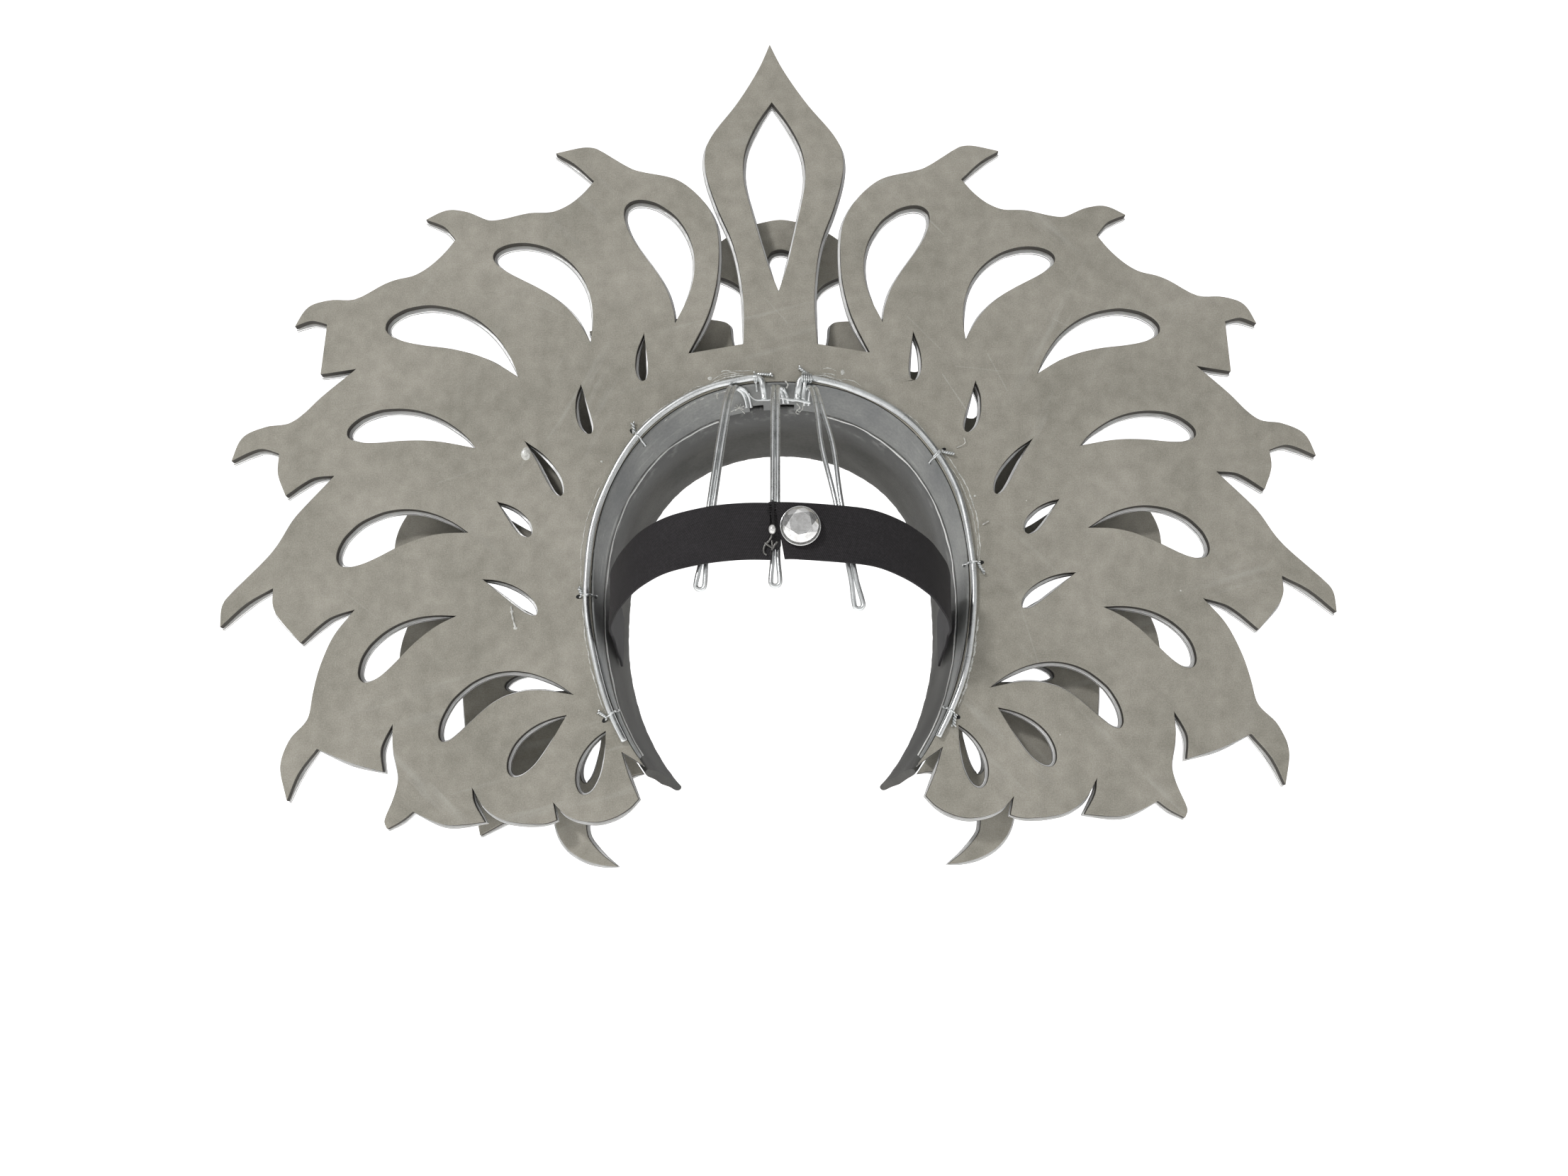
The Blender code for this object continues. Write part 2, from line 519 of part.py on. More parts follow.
def build_plates(foam, silver):
    """Rear and front plates, each a foam sheet with a thin silver sheet glued to its front."""
    def rear_outer(angle):
        return oval_radius(angle, PLATE_HALF_WIDTH, PLATE_TOP, PLATE_BOTTOM)

    def front_inner(angle):
        return passage_radius(angle, TIER_STEP) + BAND_WALL + GAP

    def front_outer(angle):
        return oval_radius(angle, FRONT_HALF_WIDTH, FRONT_TOP, FRONT_BOTTOM)

    lean = math.tan(math.radians(SPEAR_LEAN_ANGLE))
    spear = (SPEAR_FOOT_HEIGHT, SPEAR_HEIGHT, SPEAR_HALF_WIDTH, lean)
    arch = (ARCH_FOOT_HEIGHT, ARCH_HEIGHT, ARCH_HALF_WIDTH, 0.0)

    def spear_strokes(side):
        half = spire(SPEAR_OUTLINE, *spear, side)[::-1]
        notch = spot(REAR_LOBES[0][0], lobe_root_radius, rear_outer, side, REAR_RIGHT_CUT)
        return [half, np.array((half[-1], notch))]

    def arch_strokes(side):
        cap = spire(ARCH_CAP, *arch, side)[::-1]
        stem = spire(ARCH_OUTLINE, *arch, side)[::-1]
        notch = spot(FRONT_LOBES[0][0], front_inner, front_outer, side, FRONT_RIGHT_CUT)
        return [cap, stem, np.array((stem[-1], notch))]

    rear_loop, rear_held = plate_loop(spear_strokes, REAR_LOBES, REAR_SKIRT, REAR_FOOT, PLATE_FOOT_ANGLE,
                                      lobe_root_radius, rear_outer, opening_radius, REAR_RIGHT_CUT)
    front_loop, front_held = plate_loop(arch_strokes, FRONT_LOBES, (), FRONT_FOOT, FRONT_FOOT_ANGLE,
                                        front_inner, front_outer, front_inner, FRONT_RIGHT_CUT)
    rear_holes = [window_loop(row, lobe_root_radius, rear_outer, side, REAR_RIGHT_CUT)
                  for side in (1, -1) for row in REAR_WINDOWS]
    rear_holes.append(motif_window(SPEAR_WINDOW, *spear))
    front_holes = [window_loop(row, front_inner, front_outer, side, FRONT_RIGHT_CUT)
                   for side in (1, -1) for row in FRONT_WINDOWS]
    front_holes += [window_loop(row, front_inner, front_outer, -1, FRONT_RIGHT_CUT) for row in FRONT_RIGHT_SLITS]
    front_holes.append(motif_window(ARCH_WINDOW, *arch))

    for name, loop, held, holes, back in (("rear", rear_loop, rear_held, rear_holes, 0.0),
                                          ("front", front_loop, front_held, front_holes, -TIER_STEP)):
        add_slab(name + "_plate_foam", loop, holes, back, back - FOAM, foam)
        lipped = spread(loop, FACING_LIP, held)
        lipped_holes = [spread(hole, -FACING_LIP, np.zeros(len(hole), dtype=bool)) for hole in holes]
        facing_back = back - FOAM - GAP
        add_slab(name + "_plate_facing", lipped, lipped_holes, facing_back, facing_back - FACING, silver)


def build_passage(felt, trim, dark):
    """Collar, its piping and the head band: the padded way that the head goes through."""
    def collar_outer_back(angle):
        return opening_radius(angle) - GAP

    def collar_inner_back(angle):
        return passage_radius(angle, 0.0)

    def inner_front(angle):
        return passage_radius(angle, TIER_STEP)

    def collar_outer_front(angle):
        return min(inner_front(angle) + COLLAR_FRONT_WALL, opening_radius(angle) - GAP)

    collar_front = TIER_STEP - GAP
    add_arch("collar", ((0.0, collar_outer_back, COLLAR_FOOT_ANGLE),
                        (collar_front, collar_outer_front, COLLAR_FOOT_ANGLE),
                        (collar_front, inner_front, COLLAR_FOOT_ANGLE),
                        (0.0, collar_inner_back, COLLAR_FOOT_ANGLE)), felt)

    def band_inner_front(angle):
        return passage_radius(angle, TIER_STEP + BAND_DEPTH)

    add_arch("head_band", ((TIER_STEP, lambda angle: inner_front(angle) + BAND_WALL, BAND_BACK_FOOT_ANGLE),
                           (TIER_STEP + BAND_DEPTH, lambda angle: band_inner_front(angle) + BAND_WALL,
                            BAND_FRONT_FOOT_ANGLE),
                           (TIER_STEP + BAND_DEPTH, band_inner_front, BAND_FRONT_FOOT_ANGLE),
                           (TIER_STEP, inner_front, BAND_BACK_FOOT_ANGLE)), dark)

    for side, label, start in ((1, "left", PIPING_START_ANGLES[0]), (-1, "right", PIPING_START_ANGLES[1])):
        path = []
        for angle in np.linspace(start, COLLAR_FOOT_ANGLE, 17):
            x, z = at_angle(inner_front(angle) - GAP - COLLAR_PIPING / 2, side * angle)
            path.append((x, -TIER_STEP, z))
        add_wire("collar_piping_" + label, path, COLLAR_PIPING, trim, sides=6)


def build_spacers(foam):
    """Foam blocks between the tiers, close to the head opening."""
    back = -(FOAM + FACING + 2 * GAP)
    front = -(TIER_STEP - GAP)
    for side, label in ((1, "left"), (-1, "right")):
        for number, angle in enumerate(SPACER_ANGLES, start=1):
            inner = opening_radius(angle) + SPACER_INSET
            bm = bmesh.new()
            bmesh.ops.create_cube(bm, size=1.0)
            bmesh.ops.scale(bm, vec=(SPACER_LENGTH, back - front, SPACER_WIDTH), verts=bm.verts)
            piece = add_mesh(f"spacer_{label}_{number}", bm, foam)
            x, z = at_angle(inner + SPACER_WIDTH / 2, side * angle)
            piece.location = (x, (back + front) / 2, z)
            piece.rotation_euler = (0.0, math.radians(side * angle), 0.0)


def build_hoop(galvanised, tie_steel):
    """Two halves of the wire hoop on the rear plate, each bent into the opening at the top, and their ties."""
    height = GAP + HOOP_WIRE / 2
    start = math.degrees(math.asin(HOOP_TOP_GAP / 2 / HOOP_TOP))
    for side, label, tie_angles in ((1, "left", TIE_ANGLES[0]), (-1, "right", TIE_ANGLES[1])):
        path = []
        for sideways, down, behind in STUB_BEND:
            x = side * sideways * HOOP_TOP_GAP / 2
            path.append((x, height * behind, hoop_radius(start) - HOOP_STUB * down))
        for angle in np.linspace(start + HOOP_SHOULDER_ANGLE, HOOP_END_ANGLE, 19):
            x, z = at_angle(hoop_radius(angle), side * angle)
            path.append((x, height, z))
        add_wire("hoop_" + label, smooth(path, 2), HOOP_WIRE, galvanised)
        for number, angle in enumerate(tie_angles, start=1):
            centre = at_angle(hoop_radius(angle), side * angle)
            outwards = at_angle(1.0, side * angle)
            loop = HOOP_WIRE / 2 + GAP + TIE_WIRE / 2
            rest = GAP + TIE_WIRE / 2
            section = [(TIE_TAIL, rest), (0.7 * TIE_TAIL, rest), (1.5 * loop, rest)]
            section += [(loop * math.cos(turn), height + loop * math.sin(turn))
                        for turn in np.radians(np.arange(0.0, 200.0, 45.0))]
            path = [(centre[0] + outwards[0] * reach, level, centre[1] + outwards[1] * reach)
                    for reach, level in section]
            add_wire(f"tie_{label}_{number}", path, TIE_WIRE, tie_steel, sides=6)
    build_link(tie_steel, hoop_radius(start) - HOOP_STUB)


def build_link(tie_steel, stub_end_height):
    """Thin wire that lies against the inner ends of the two hoop halves and joins them."""
    height = stub_end_height - GAP - LINK_WIRE / 2
    stub_x = STUB_BEND[0][0] * HOOP_TOP_GAP / 2
    path = [(stub_x * sideways, 0.0, height - LINK_BEND * down) for sideways, down in LINK_PATH]
    add_wire("top_link", smooth(path, 2), LINK_WIRE, tie_steel, sides=6)


def build_prongs(galvanised):
    """Hairpins of doubled wire that hang from the top of the collar and lie under the strap."""
    radius = PRONG_WIRE / 2
    side_reach = strap_side_reach()
    for name, top_x, end_x, end_height in PRONGS:
        under_strap = STRAP_REACH - STRAP_THICKNESS / 2 - PRONG_STRAP_CLEARANCE - radius
        centre = []
        outer_x = abs(top_x) + PRONG_PITCH / 2
        angle = math.degrees(math.asin(outer_x / HOOP_TOP))
        reach = passage_radius(angle, PRONG_TUCK) - GAP - radius
        for entry in PRONG_ENTRY:
            centre.append((top_x, -entry * PRONG_TUCK, math.sqrt(reach**2 - outer_x**2)))
        top = centre[-1][2]
        for share in PRONG_TURNS:
            turn = 0.5 * math.pi * share
            x = top_x + (end_x - top_x) * share**2
            width = math.sqrt(1.0 - ((abs(x) + PRONG_LOOP_PITCH / 2 + radius) / side_reach)**2)
            height = end_height + (top - end_height) * math.cos(turn)
            centre.append((x, under_strap * width * math.sin(turn), height))
        line = smooth(centre, 2)
        spread = np.full(len(line), PRONG_PITCH / 2)
        spread[-1] = PRONG_LOOP_PITCH / 2
        across = np.column_stack((spread, np.zeros(len(line)), np.zeros(len(line))))
        bend = [line[-1] + spread[-1] * np.array((math.cos(turn), 0.0, -math.sin(turn)))
                for turn in np.linspace(0.0, math.pi, 6)[1:-1]]
        path = np.vstack((line + across, bend, (line - across)[::-1]))
        add_wire(name, path, PRONG_WIRE, galvanised, sides=6)


def strap_wall(depth, height):
    """Sideways place of the strap's middle line inside the passage, where its lower edge clears the wall."""
    low = height - STRAP_WIDTH / 2
    angle = 90.0 - math.degrees(math.asin(low / HOOP_HALF_WIDTH))
    wall = passage_radius(angle, depth) * math.sin(math.radians(angle))
    return wall - GAP - COLLAR_PIPING - GAP - STRAP_THICKNESS / 2


def strap_side_reach():
    """Half width of the strap's loop where it enters the passage."""
    return strap_wall(TIER_STEP, STRAP_SIDE_HEIGHT) - STRAP_SIDE_INSET


def strap_point(x):
    """Place of the strap's middle line at the back of the head for a sideways place."""
    side_reach = strap_side_reach()
    share = abs(x) / side_reach
    return np.array((x, STRAP_REACH * math.sqrt(1.0 - share**2),
                     STRAP_CENTRE_HEIGHT + (STRAP_SIDE_HEIGHT - STRAP_CENTRE_HEIGHT) * share**2))


def build_strap(elastic):
    """Two lengths of flat elastic from inside the head band to the join behind the head."""
    side_reach = strap_side_reach()
    for side, label in ((1, "left"), (-1, "right")):
        start = STRAP_JOIN_OFFSET + side * STRAP_JOIN_GAP / 2
        path = []
        first = math.asin(abs(start) / side_reach) * (1 if start * side > 0 else -1)
        for turn in np.linspace(first, 0.5 * math.pi, 15):
            path.append(strap_point(side * side_reach * math.sin(turn)))
        end_depth = TIER_STEP + STRAP_TUCK
        end_reach = strap_wall(end_depth, STRAP_END_HEIGHT) + COLLAR_PIPING - GAP
        for share in (0.4, 0.7, 1.0):
            height = STRAP_SIDE_HEIGHT + (STRAP_END_HEIGHT - STRAP_SIDE_HEIGHT) * share
            reach = side_reach + (end_reach - side_reach) * share
            path.append(np.array((side * reach, -share * end_depth, height)))
        path = np.array(path)
        along = np.gradient(path, axis=0)
        out = np.column_stack((along[:, 1], -along[:, 0])) * side
        out /= np.linalg.norm(out, axis=1)[:, None]
        bm = bmesh.new()
        rows = []
        for place, (out_x, out_y) in zip(path, out):
            row = []
            for sideways, up in ((0.5, 0.5), (0.5, -0.5), (-0.5, -0.5), (-0.5, 0.5)):
                outwards = sideways * STRAP_THICKNESS
                row.append(bm.verts.new(place + np.array((out_x * outwards, out_y * outwards, up * STRAP_WIDTH))))
            rows.append(row)
        for one, other in zip(rows, rows[1:]):
            for i in range(4):
                bm.faces.new((one[i], one[(i + 1) % 4], other[(i + 1) % 4], other[i]))
        bm.faces.new(rows[0])
        bm.faces.new(rows[-1])
        add_mesh("strap_" + label, bm, elastic, math.radians(40))


def build_clasp(silver, galvanised):
    """Bead at the strap's join and the small wire hook that closes it."""
    join = strap_point(STRAP_JOIN_OFFSET)
    face = join[1] + STRAP_THICKNESS / 2 + GAP
    bm = bmesh.new()
    bmesh.ops.create_uvsphere(bm, u_segments=12, v_segments=8, radius=CLASP_BEAD / 2)
    bead = add_mesh("clasp_bead", bm, silver, math.radians(60))
    bead.location = (join[0], face + CLASP_BEAD / 2, join[2])
    drop = CLASP_BEAD / 2 + GAP + CLASP_WIRE / 2
    reach = STRAP_JOIN_GAP / 2 + CLASP_WIRE
    level = face + CLASP_WIRE / 2
    path = [(join[0] + reach * sideways, level, join[2] - drop - STRAP_WIDTH * down)
            for sideways, down in HOOK_PATH]
    add_wire("clasp_hook", smooth(path, 2), CLASP_WIRE, galvanised, sides=6)


def build_button(crystal, silver):
    """Faceted round stone in a shallow metal cup, sewn to the right half of the strap."""
    centre = strap_point(STRAP_JOIN_OFFSET - BUTTON_OFFSET) + np.array((0.0, 0.0, BUTTON_RAISE))
    face = STRAP_REACH + STRAP_THICKNESS / 2 + GAP

    def turned(name, rings, material, smooth_angle):
        bm = bmesh.new()
        rows = []
        for radius, level, shift in rings:
            rim = [at_angle(radius, 360.0 * (i + shift) / BUTTON_SIDES) for i in range(BUTTON_SIDES)]
            rows.append([bm.verts.new((centre[0] + x, level, centre[2] + z)) for x, z in rim])
        for (one, other), (ring, following) in zip(zip(rows, rows[1:]), zip(rings, rings[1:])):
            turned_half = int(round(2 * (following[2] - ring[2])))
            for i in range(BUTTON_SIDES):
                after = (i + 1) % BUTTON_SIDES
                if turned_half == 0:
                    bm.faces.new((one[i], one[after], other[after], other[i]))
                else:
                    ahead = i if turned_half > 0 else after
                    bm.faces.new((one[i], one[after], other[ahead]))
                    bm.faces.new((other[i], other[after], one[after if turned_half > 0 else i]))
        bm.faces.new(rows[0])
        bm.faces.new(rows[-1])
        return add_mesh(name, bm, material, smooth_angle)

    inner = BUTTON_RADIUS - BUTTON_CUP_WALL
    floor = face + BUTTON_CUP_WALL
    rim = face + BUTTON_CUP_HEIGHT
    turned("button_cup", ((BUTTON_RADIUS, face, 0.0), (BUTTON_RADIUS, rim, 0.0),
                          (inner, rim, 0.0), (inner, floor, 0.0)), silver, math.radians(40))
    stone = inner - GAP
    rings = [(stone * wide, floor + GAP + BUTTON_HEIGHT * high, shift) for wide, high, shift in STONE_PROFILE]
    turned("button_stone", rings, crystal, None)


def build():
    """Clear the scene and make the whole crown."""
    for item in list(bpy.data.objects):
        bpy.data.objects.remove(item, do_unlink=True)
    foam = finish_material("grey_foam", (0.36, 0.35, 0.33), 0.85)
    silver = finish_material("silver_facing", (0.78, 0.78, 0.78), 0.3, 0.9)
    felt = finish_material("collar_grey", (0.24, 0.26, 0.29), 0.7)
    dark = finish_material("band_black", (0.03, 0.03, 0.028), 0.8)
    galvanised = finish_material("galvanised_wire", (0.55, 0.56, 0.57), 0.35, 1.0)
    elastic = finish_material("black_elastic", (0.012, 0.012, 0.013), 0.75)
    crystal = finish_material("clear_stone", (0.9, 0.93, 0.95), 0.05)
    build_plates(foam, silver)
    build_passage(felt, silver, dark)
    build_spacers(foam)
    build_hoop(galvanised, galvanised)
    build_prongs(galvanised)
    build_strap(elastic)
    build_clasp(silver, galvanised)
    build_button(crystal, silver)


build()
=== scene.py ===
"""Carnival crown dressed for its picture: cut foam plates, a padded head way, wire, elastic and glue.

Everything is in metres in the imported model's frame: the wearer faces -Y, +Z is up, and +X is on the wearer's
left.
"""

import math

import bmesh
import bpy
import numpy as np
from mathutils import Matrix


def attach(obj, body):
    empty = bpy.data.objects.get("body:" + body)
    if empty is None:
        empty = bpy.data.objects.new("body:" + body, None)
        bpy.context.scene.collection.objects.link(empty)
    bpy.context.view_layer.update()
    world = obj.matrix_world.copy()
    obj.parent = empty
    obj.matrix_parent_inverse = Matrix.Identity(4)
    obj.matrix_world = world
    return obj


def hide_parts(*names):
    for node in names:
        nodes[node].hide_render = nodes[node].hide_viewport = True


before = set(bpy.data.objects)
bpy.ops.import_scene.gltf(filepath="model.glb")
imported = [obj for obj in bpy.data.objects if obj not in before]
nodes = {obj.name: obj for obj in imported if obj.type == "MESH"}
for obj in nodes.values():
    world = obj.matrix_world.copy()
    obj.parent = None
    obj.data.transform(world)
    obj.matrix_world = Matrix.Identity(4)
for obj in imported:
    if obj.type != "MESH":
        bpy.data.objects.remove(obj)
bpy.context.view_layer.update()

# Camera: 0.8 m behind the crown and a little below the head opening, turned up by 12 degrees.
# Its angle of view is that of a 36 mm lens on a frame 36 mm wide.
CAMERA_PLACE = (-0.0019, 0.8170, -0.1773)
CAMERA_TILT = 12.0
CAMERA_LENS = 36.0


def linked(name, data):
    """A new object in the scene."""
    made = bpy.data.objects.new(name, data)
    bpy.context.scene.collection.objects.link(made)
    return made


lens = bpy.data.cameras.new("camera")
lens.lens = CAMERA_LENS
lens.sensor_width = 36.0
lens.clip_end = 50.0
camera = linked("camera", lens)
camera.location = CAMERA_PLACE
camera.rotation_euler = (math.radians(90.0 + CAMERA_TILT), 0.0, math.pi)
bpy.context.scene.camera = camera

# Foam plates and spacers: closed-cell foam sheet, 5 mm thick, cut by hand with a knife and glued up in two
# tiers. The skin of the sheet is warm grey, mottled and scuffed; its cut walls are rougher and are painted
# very dark as shade.
FOAM_TONE = (0.316, 0.299, 0.254)
FOAM_PALE = (0.415, 0.392, 0.342)
FOAM_DEEP = (0.222, 0.213, 0.178)
FOAM_WALL_SHADE = (0.052, 0.047, 0.04)
FOAM_NICK = (0.07, 0.066, 0.06)
FOAM_SPECK = (0.62, 0.61, 0.58)
FOAM_EDGE = 0.0004
EDGE_ANGLE = math.radians(50)
SAME_PLACE = 1e-6
FLAT_ANGLE = 0.005
CUT_STEPS = 4
SHARP_TURN = 75.0
LONG_TURN = 42.0
LONG_SIDE = 0.005
MARGIN_FADE = 0.016
MARGIN_START = 0.124
MARGIN_RISE = 0.004
# Hairline scratches on the back of the rear plate: both ends in millimetres, sideways and up, and a strength
SCRATCH_COLUMNS = ("start", "end", "strength")
SCRATCHES = (
    ((-89, 116), (-102, 95), 0.5), ((-114, 128), (-124, 107), 0.35), ((-79, 212), (-91, 199), 0.4),
    ((-96, 121), (-121, 118), 0.25), ((8, 160), (-4, 146), 0.3), ((-70, 150), (-88, 131), 0.25),
    ((-150, 149), (-168, 139), 0.3), ((120, 150), (138, 158), 0.2), ((165, 62), (186, 54), 0.2),
    ((-128, -15), (-136, -44), 0.25), ((214, -20), (232, -6), 0.2),
)


class Field:
    """A value that varies over a surface: arithmetic on it adds Math nodes to its finish."""

    def __init__(self, finish, socket):
        self.finish = finish
        self.socket = socket

    def work(self, operation, *values):
        return self.finish.node("Math", {"operation": operation}, dict(enumerate(values)))

    def __add__(self, other):
        return self.work("ADD", self, other)

    def __radd__(self, other):
        return self.work("ADD", other, self)

    def __sub__(self, other):
        return self.work("SUBTRACT", self, other)

    def __rsub__(self, other):
        return self.work("SUBTRACT", other, self)

    def __mul__(self, other):
        return self.work("MULTIPLY", self, other)

    def __rmul__(self, other):
        return self.work("MULTIPLY", other, self)

    def __lt__(self, other):
        return self.work("LESS_THAN", self, other)

    def __gt__(self, other):
        return self.work("GREATER_THAN", self, other)

    def __abs__(self):
        return self.work("ABSOLUTE", self)

    def larger(self, other):
        return self.work("MAXIMUM", self, other)

    def smaller(self, other):
        return self.work("MINIMUM", self, other)

    def sine(self):
        return self.work("SINE", self)


class Finish:
    """A material: the nodes that vary it, and the Principled shader that they feed."""

    def __init__(self, name, colour, roughness, metallic=0.0, **constants):
        self.material = bpy.data.materials.new(name)
        self.material.use_nodes = True
        self.tree = self.material.node_tree
        self.shader = self.tree.nodes["Principled BSDF"]
        self.shader.inputs["Base Color"].default_value = (*colour, 1.0)
        self.shader.inputs["Roughness"].default_value = roughness
        self.shader.inputs["Metallic"].default_value = metallic
        for socket, value in constants.items():
            self.shader.inputs[socket.replace("_", " ")].default_value = value

    def node(self, kind, settings, inputs, output=0):
        """Any node: its settings first, then a value or a link for each named or numbered socket."""
        made = self.tree.nodes.new("ShaderNode" + kind)
        for key, value in settings.items():
            if key == "stops":
                self.set_stops(made.color_ramp.elements, value)
            else:
                setattr(made, key, value)
        for key, value in inputs.items():
            if isinstance(value, Field):
                self.tree.links.new(value.socket, made.inputs[key])
            else:
                made.inputs[key].default_value = value
        return Field(self, made.outputs[output])

    def set_stops(self, elements, stops):
        for spare in range(len(stops) - len(elements)):
            elements.new(0.5)
        for element, (place, level) in zip(elements, stops):
            element.position = place
            element.color = (*level, 1.0) if isinstance(level, tuple) else (level, level, level, 1.0)

    def place(self, scale=(1.0, 1.0, 1.0), turn=(0.0, 0.0, 0.0)):
        """The piece's own coordinates in metres, turned and then scaled."""
        own = self.node("TexCoord", {}, {}, "Object")
        turned = self.node("VectorRotate", {"rotation_type": "EULER_XYZ"}, {"Vector": own, "Rotation": turn})
        return self.node("VectorMath", {"operation": "MULTIPLY"}, {0: turned, 1: scale})

    def chart(self, scale=(1.0, 1.0, 1.0)):
        """The piece's UV map in metres along and across it, scaled."""
        own = self.node("TexCoord", {}, {}, "UV")
        return self.node("VectorMath", {"operation": "MULTIPLY"}, {0: own, 1: scale})

    def part_of(self, vector, axis):
        return self.node("SeparateXYZ", {}, {0: vector}, axis)

    def noise(self, place, scale, detail=3.0, roughness=0.55):
        inputs = {"Vector": place, "Scale": scale, "Detail": detail, "Roughness": roughness}
        return self.node("TexNoise", {}, inputs)

    def cells(self, place, scale, output="Distance"):
        return self.node("TexVoronoi", {"feature": "F1"}, {"Vector": place, "Scale": scale}, output)

    def ramp(self, field, *stops):
        return self.node("ValToRGB", {"stops": stops}, {"Fac": field})

    def mix(self, mask, first, second):
        """Second colour where the mask is 1, first colour where it is 0."""
        inputs = {0: mask}
        for key, colour in ((6, first), (7, second)):
            inputs[key] = (*colour, 1.0) if isinstance(colour, tuple) else colour
        return self.node("Mix", {"data_type": "RGBA"}, inputs, 2)

    def feed(self, socket, field):
        self.tree.links.new(field.socket, self.shader.inputs[socket])

    def relief(self, height, depth):
        """Surface relief: the height field times a depth in metres."""
        self.feed("Normal", self.node("Bump", {}, {"Height": height, "Distance": depth, "Strength": 1.0}))


def rows_of(columns, table):
    """Each row of a table by its columns' names."""
    return [dict(zip(columns, row)) for row in table]


def sparse_marks(finish, place, scale, radius, share):
    """Round marks of a radius in metres, in a share of the cells of a scattered grid of 1 / scale metres."""
    near = finish.cells(place, scale) < radius * scale
    chosen = finish.node("SeparateColor", {}, {0: finish.cells(place, scale, "Color")}) < share
    return near * chosen


def scratches(finish, own):
    """Hairlines: for each, the distance to its line is taken with the foot of the perpendicular kept between
    its ends, and the mark fades out over half a millimetre."""
    across, up = finish.part_of(own, "X"), finish.part_of(own, "Z")
    marks = 0.0
    for cell in rows_of(SCRATCH_COLUMNS, SCRATCHES):
        start = np.array(cell["start"]) / 1000.0
        line = np.array(cell["end"]) / 1000.0 - start
        aside, climb = line.tolist()
        side, rise = across - float(start[0]), up - float(start[1])
        share = ((side * aside + rise * climb) * float(1.0 / (line @ line))).larger(0.0).smaller(1.0)
        miss_side = side - share * aside
        miss_rise = rise - share * climb
        miss = (miss_side * miss_side + miss_rise * miss_rise) * 4.0e6
        marks = (1.0 - miss).larger(0.0) * cell["strength"] + marks
    return marks


def foam_finish():
    """Mottled foam skin with scuffs, white specks and dark nicks; cut walls are open-celled and painted
    dark as shade.
    """
    foam = Finish("foam_skin", FOAM_TONE, 0.8)
    place = foam.place()
    blotch = foam.noise(place, 15.0, 3.0, 0.6)
    mottle = foam.noise(place, 120.0, 4.0, 0.65)
    grain = foam.noise(place, 1400.0, 3.0, 0.7)
    tone = blotch * 0.5 + mottle * 0.45 + grain * 0.7 - 0.325
    colour = foam.ramp(tone, (0.28, FOAM_DEEP), (0.5, FOAM_TONE), (0.72, FOAM_PALE))
    for turn, stretch in ((0.5, 0.1), (-0.8, 0.12), (1.3, 0.08)):
        rub = foam.noise(foam.place((1.0, 1.0, stretch), (0.0, turn, 0.0)), 90.0, 3.0, 0.6)
        patch = foam.noise(foam.place(turn=(0.3, turn, 0.0)), 9.0, 1.0)
        smear = (rub - 0.58).larger(0.0) * (patch - 0.53).larger(0.0) * 9.0
        colour = foam.mix(smear.smaller(0.16), colour, FOAM_SPECK)
    facing = foam.part_of(foam.node("TexCoord", {}, {}, "Normal"), "Y")
    back = facing > 0.5
    hairlines = scratches(foam, place) * foam.noise(place, 260.0, 2.0) * 0.9 * back
    specks = sparse_marks(foam, place, 75.0, 0.0005, 0.06)
    nicks = sparse_marks(foam, foam.place(turn=(0.4, 0.0, 0.9)), 55.0, 0.0006, 0.03)
    colour = foam.mix(hairlines, colour, FOAM_SPECK)
    colour = foam.mix(specks, colour, FOAM_SPECK)
    colour = foam.mix(nicks * 0.85, colour, FOAM_NICK)
    wall = abs(facing) < 0.5
    # The walls take a very dark colour: painted shade on the cut walls.
    foam.feed("Base Color", foam.mix(wall, colour, FOAM_WALL_SHADE))
    foam.feed("Roughness", 0.74 + mottle * 0.16 + wall * 0.06)
    foam.relief(mottle * 0.5 + grain * 0.35 - nicks + wall * foam.noise(place, 1500.0, 2.0, 0.8), 0.00025)
    return foam.material


def through(points, steps=8):
    """Smooth curve through the points: between each pair a cubic whose end slopes follow the neighbours,
    weighed by the square roots of the distances between them."""
    given = np.array(points, dtype=float)
    ends = np.vstack((2.0 * given[0] - given[1], given, 2.0 * given[-1] - given[-2]))
    before, a, b, after = (ends[i:len(ends) - 3 + i, None] for i in range(4))
    d0, d1, d2 = (np.sqrt(np.maximum(np.linalg.norm(q - p, axis=2, keepdims=True), 1e-9))
                  for p, q in ((before, a), (a, b), (b, after)))
    pull_a = ((a - before) / d0 - (b - before) / (d0 + d1)) * d1 + (b - a)
    pull_b = ((after - b) / d2 - (after - a) / (d1 + d2)) * d1 + (b - a)
    t = np.linspace(0.0, 1.0, steps, endpoint=False)[None, :, None]
    curve = ((2 * t**3 - 3 * t**2 + 1) * a + (t**3 - 2 * t**2 + t) * pull_a
             + (3 * t**2 - 2 * t**3) * b + (t**3 - t**2) * pull_b)
    return np.vstack((curve.reshape(-1, given.shape[1]), given[-1]))


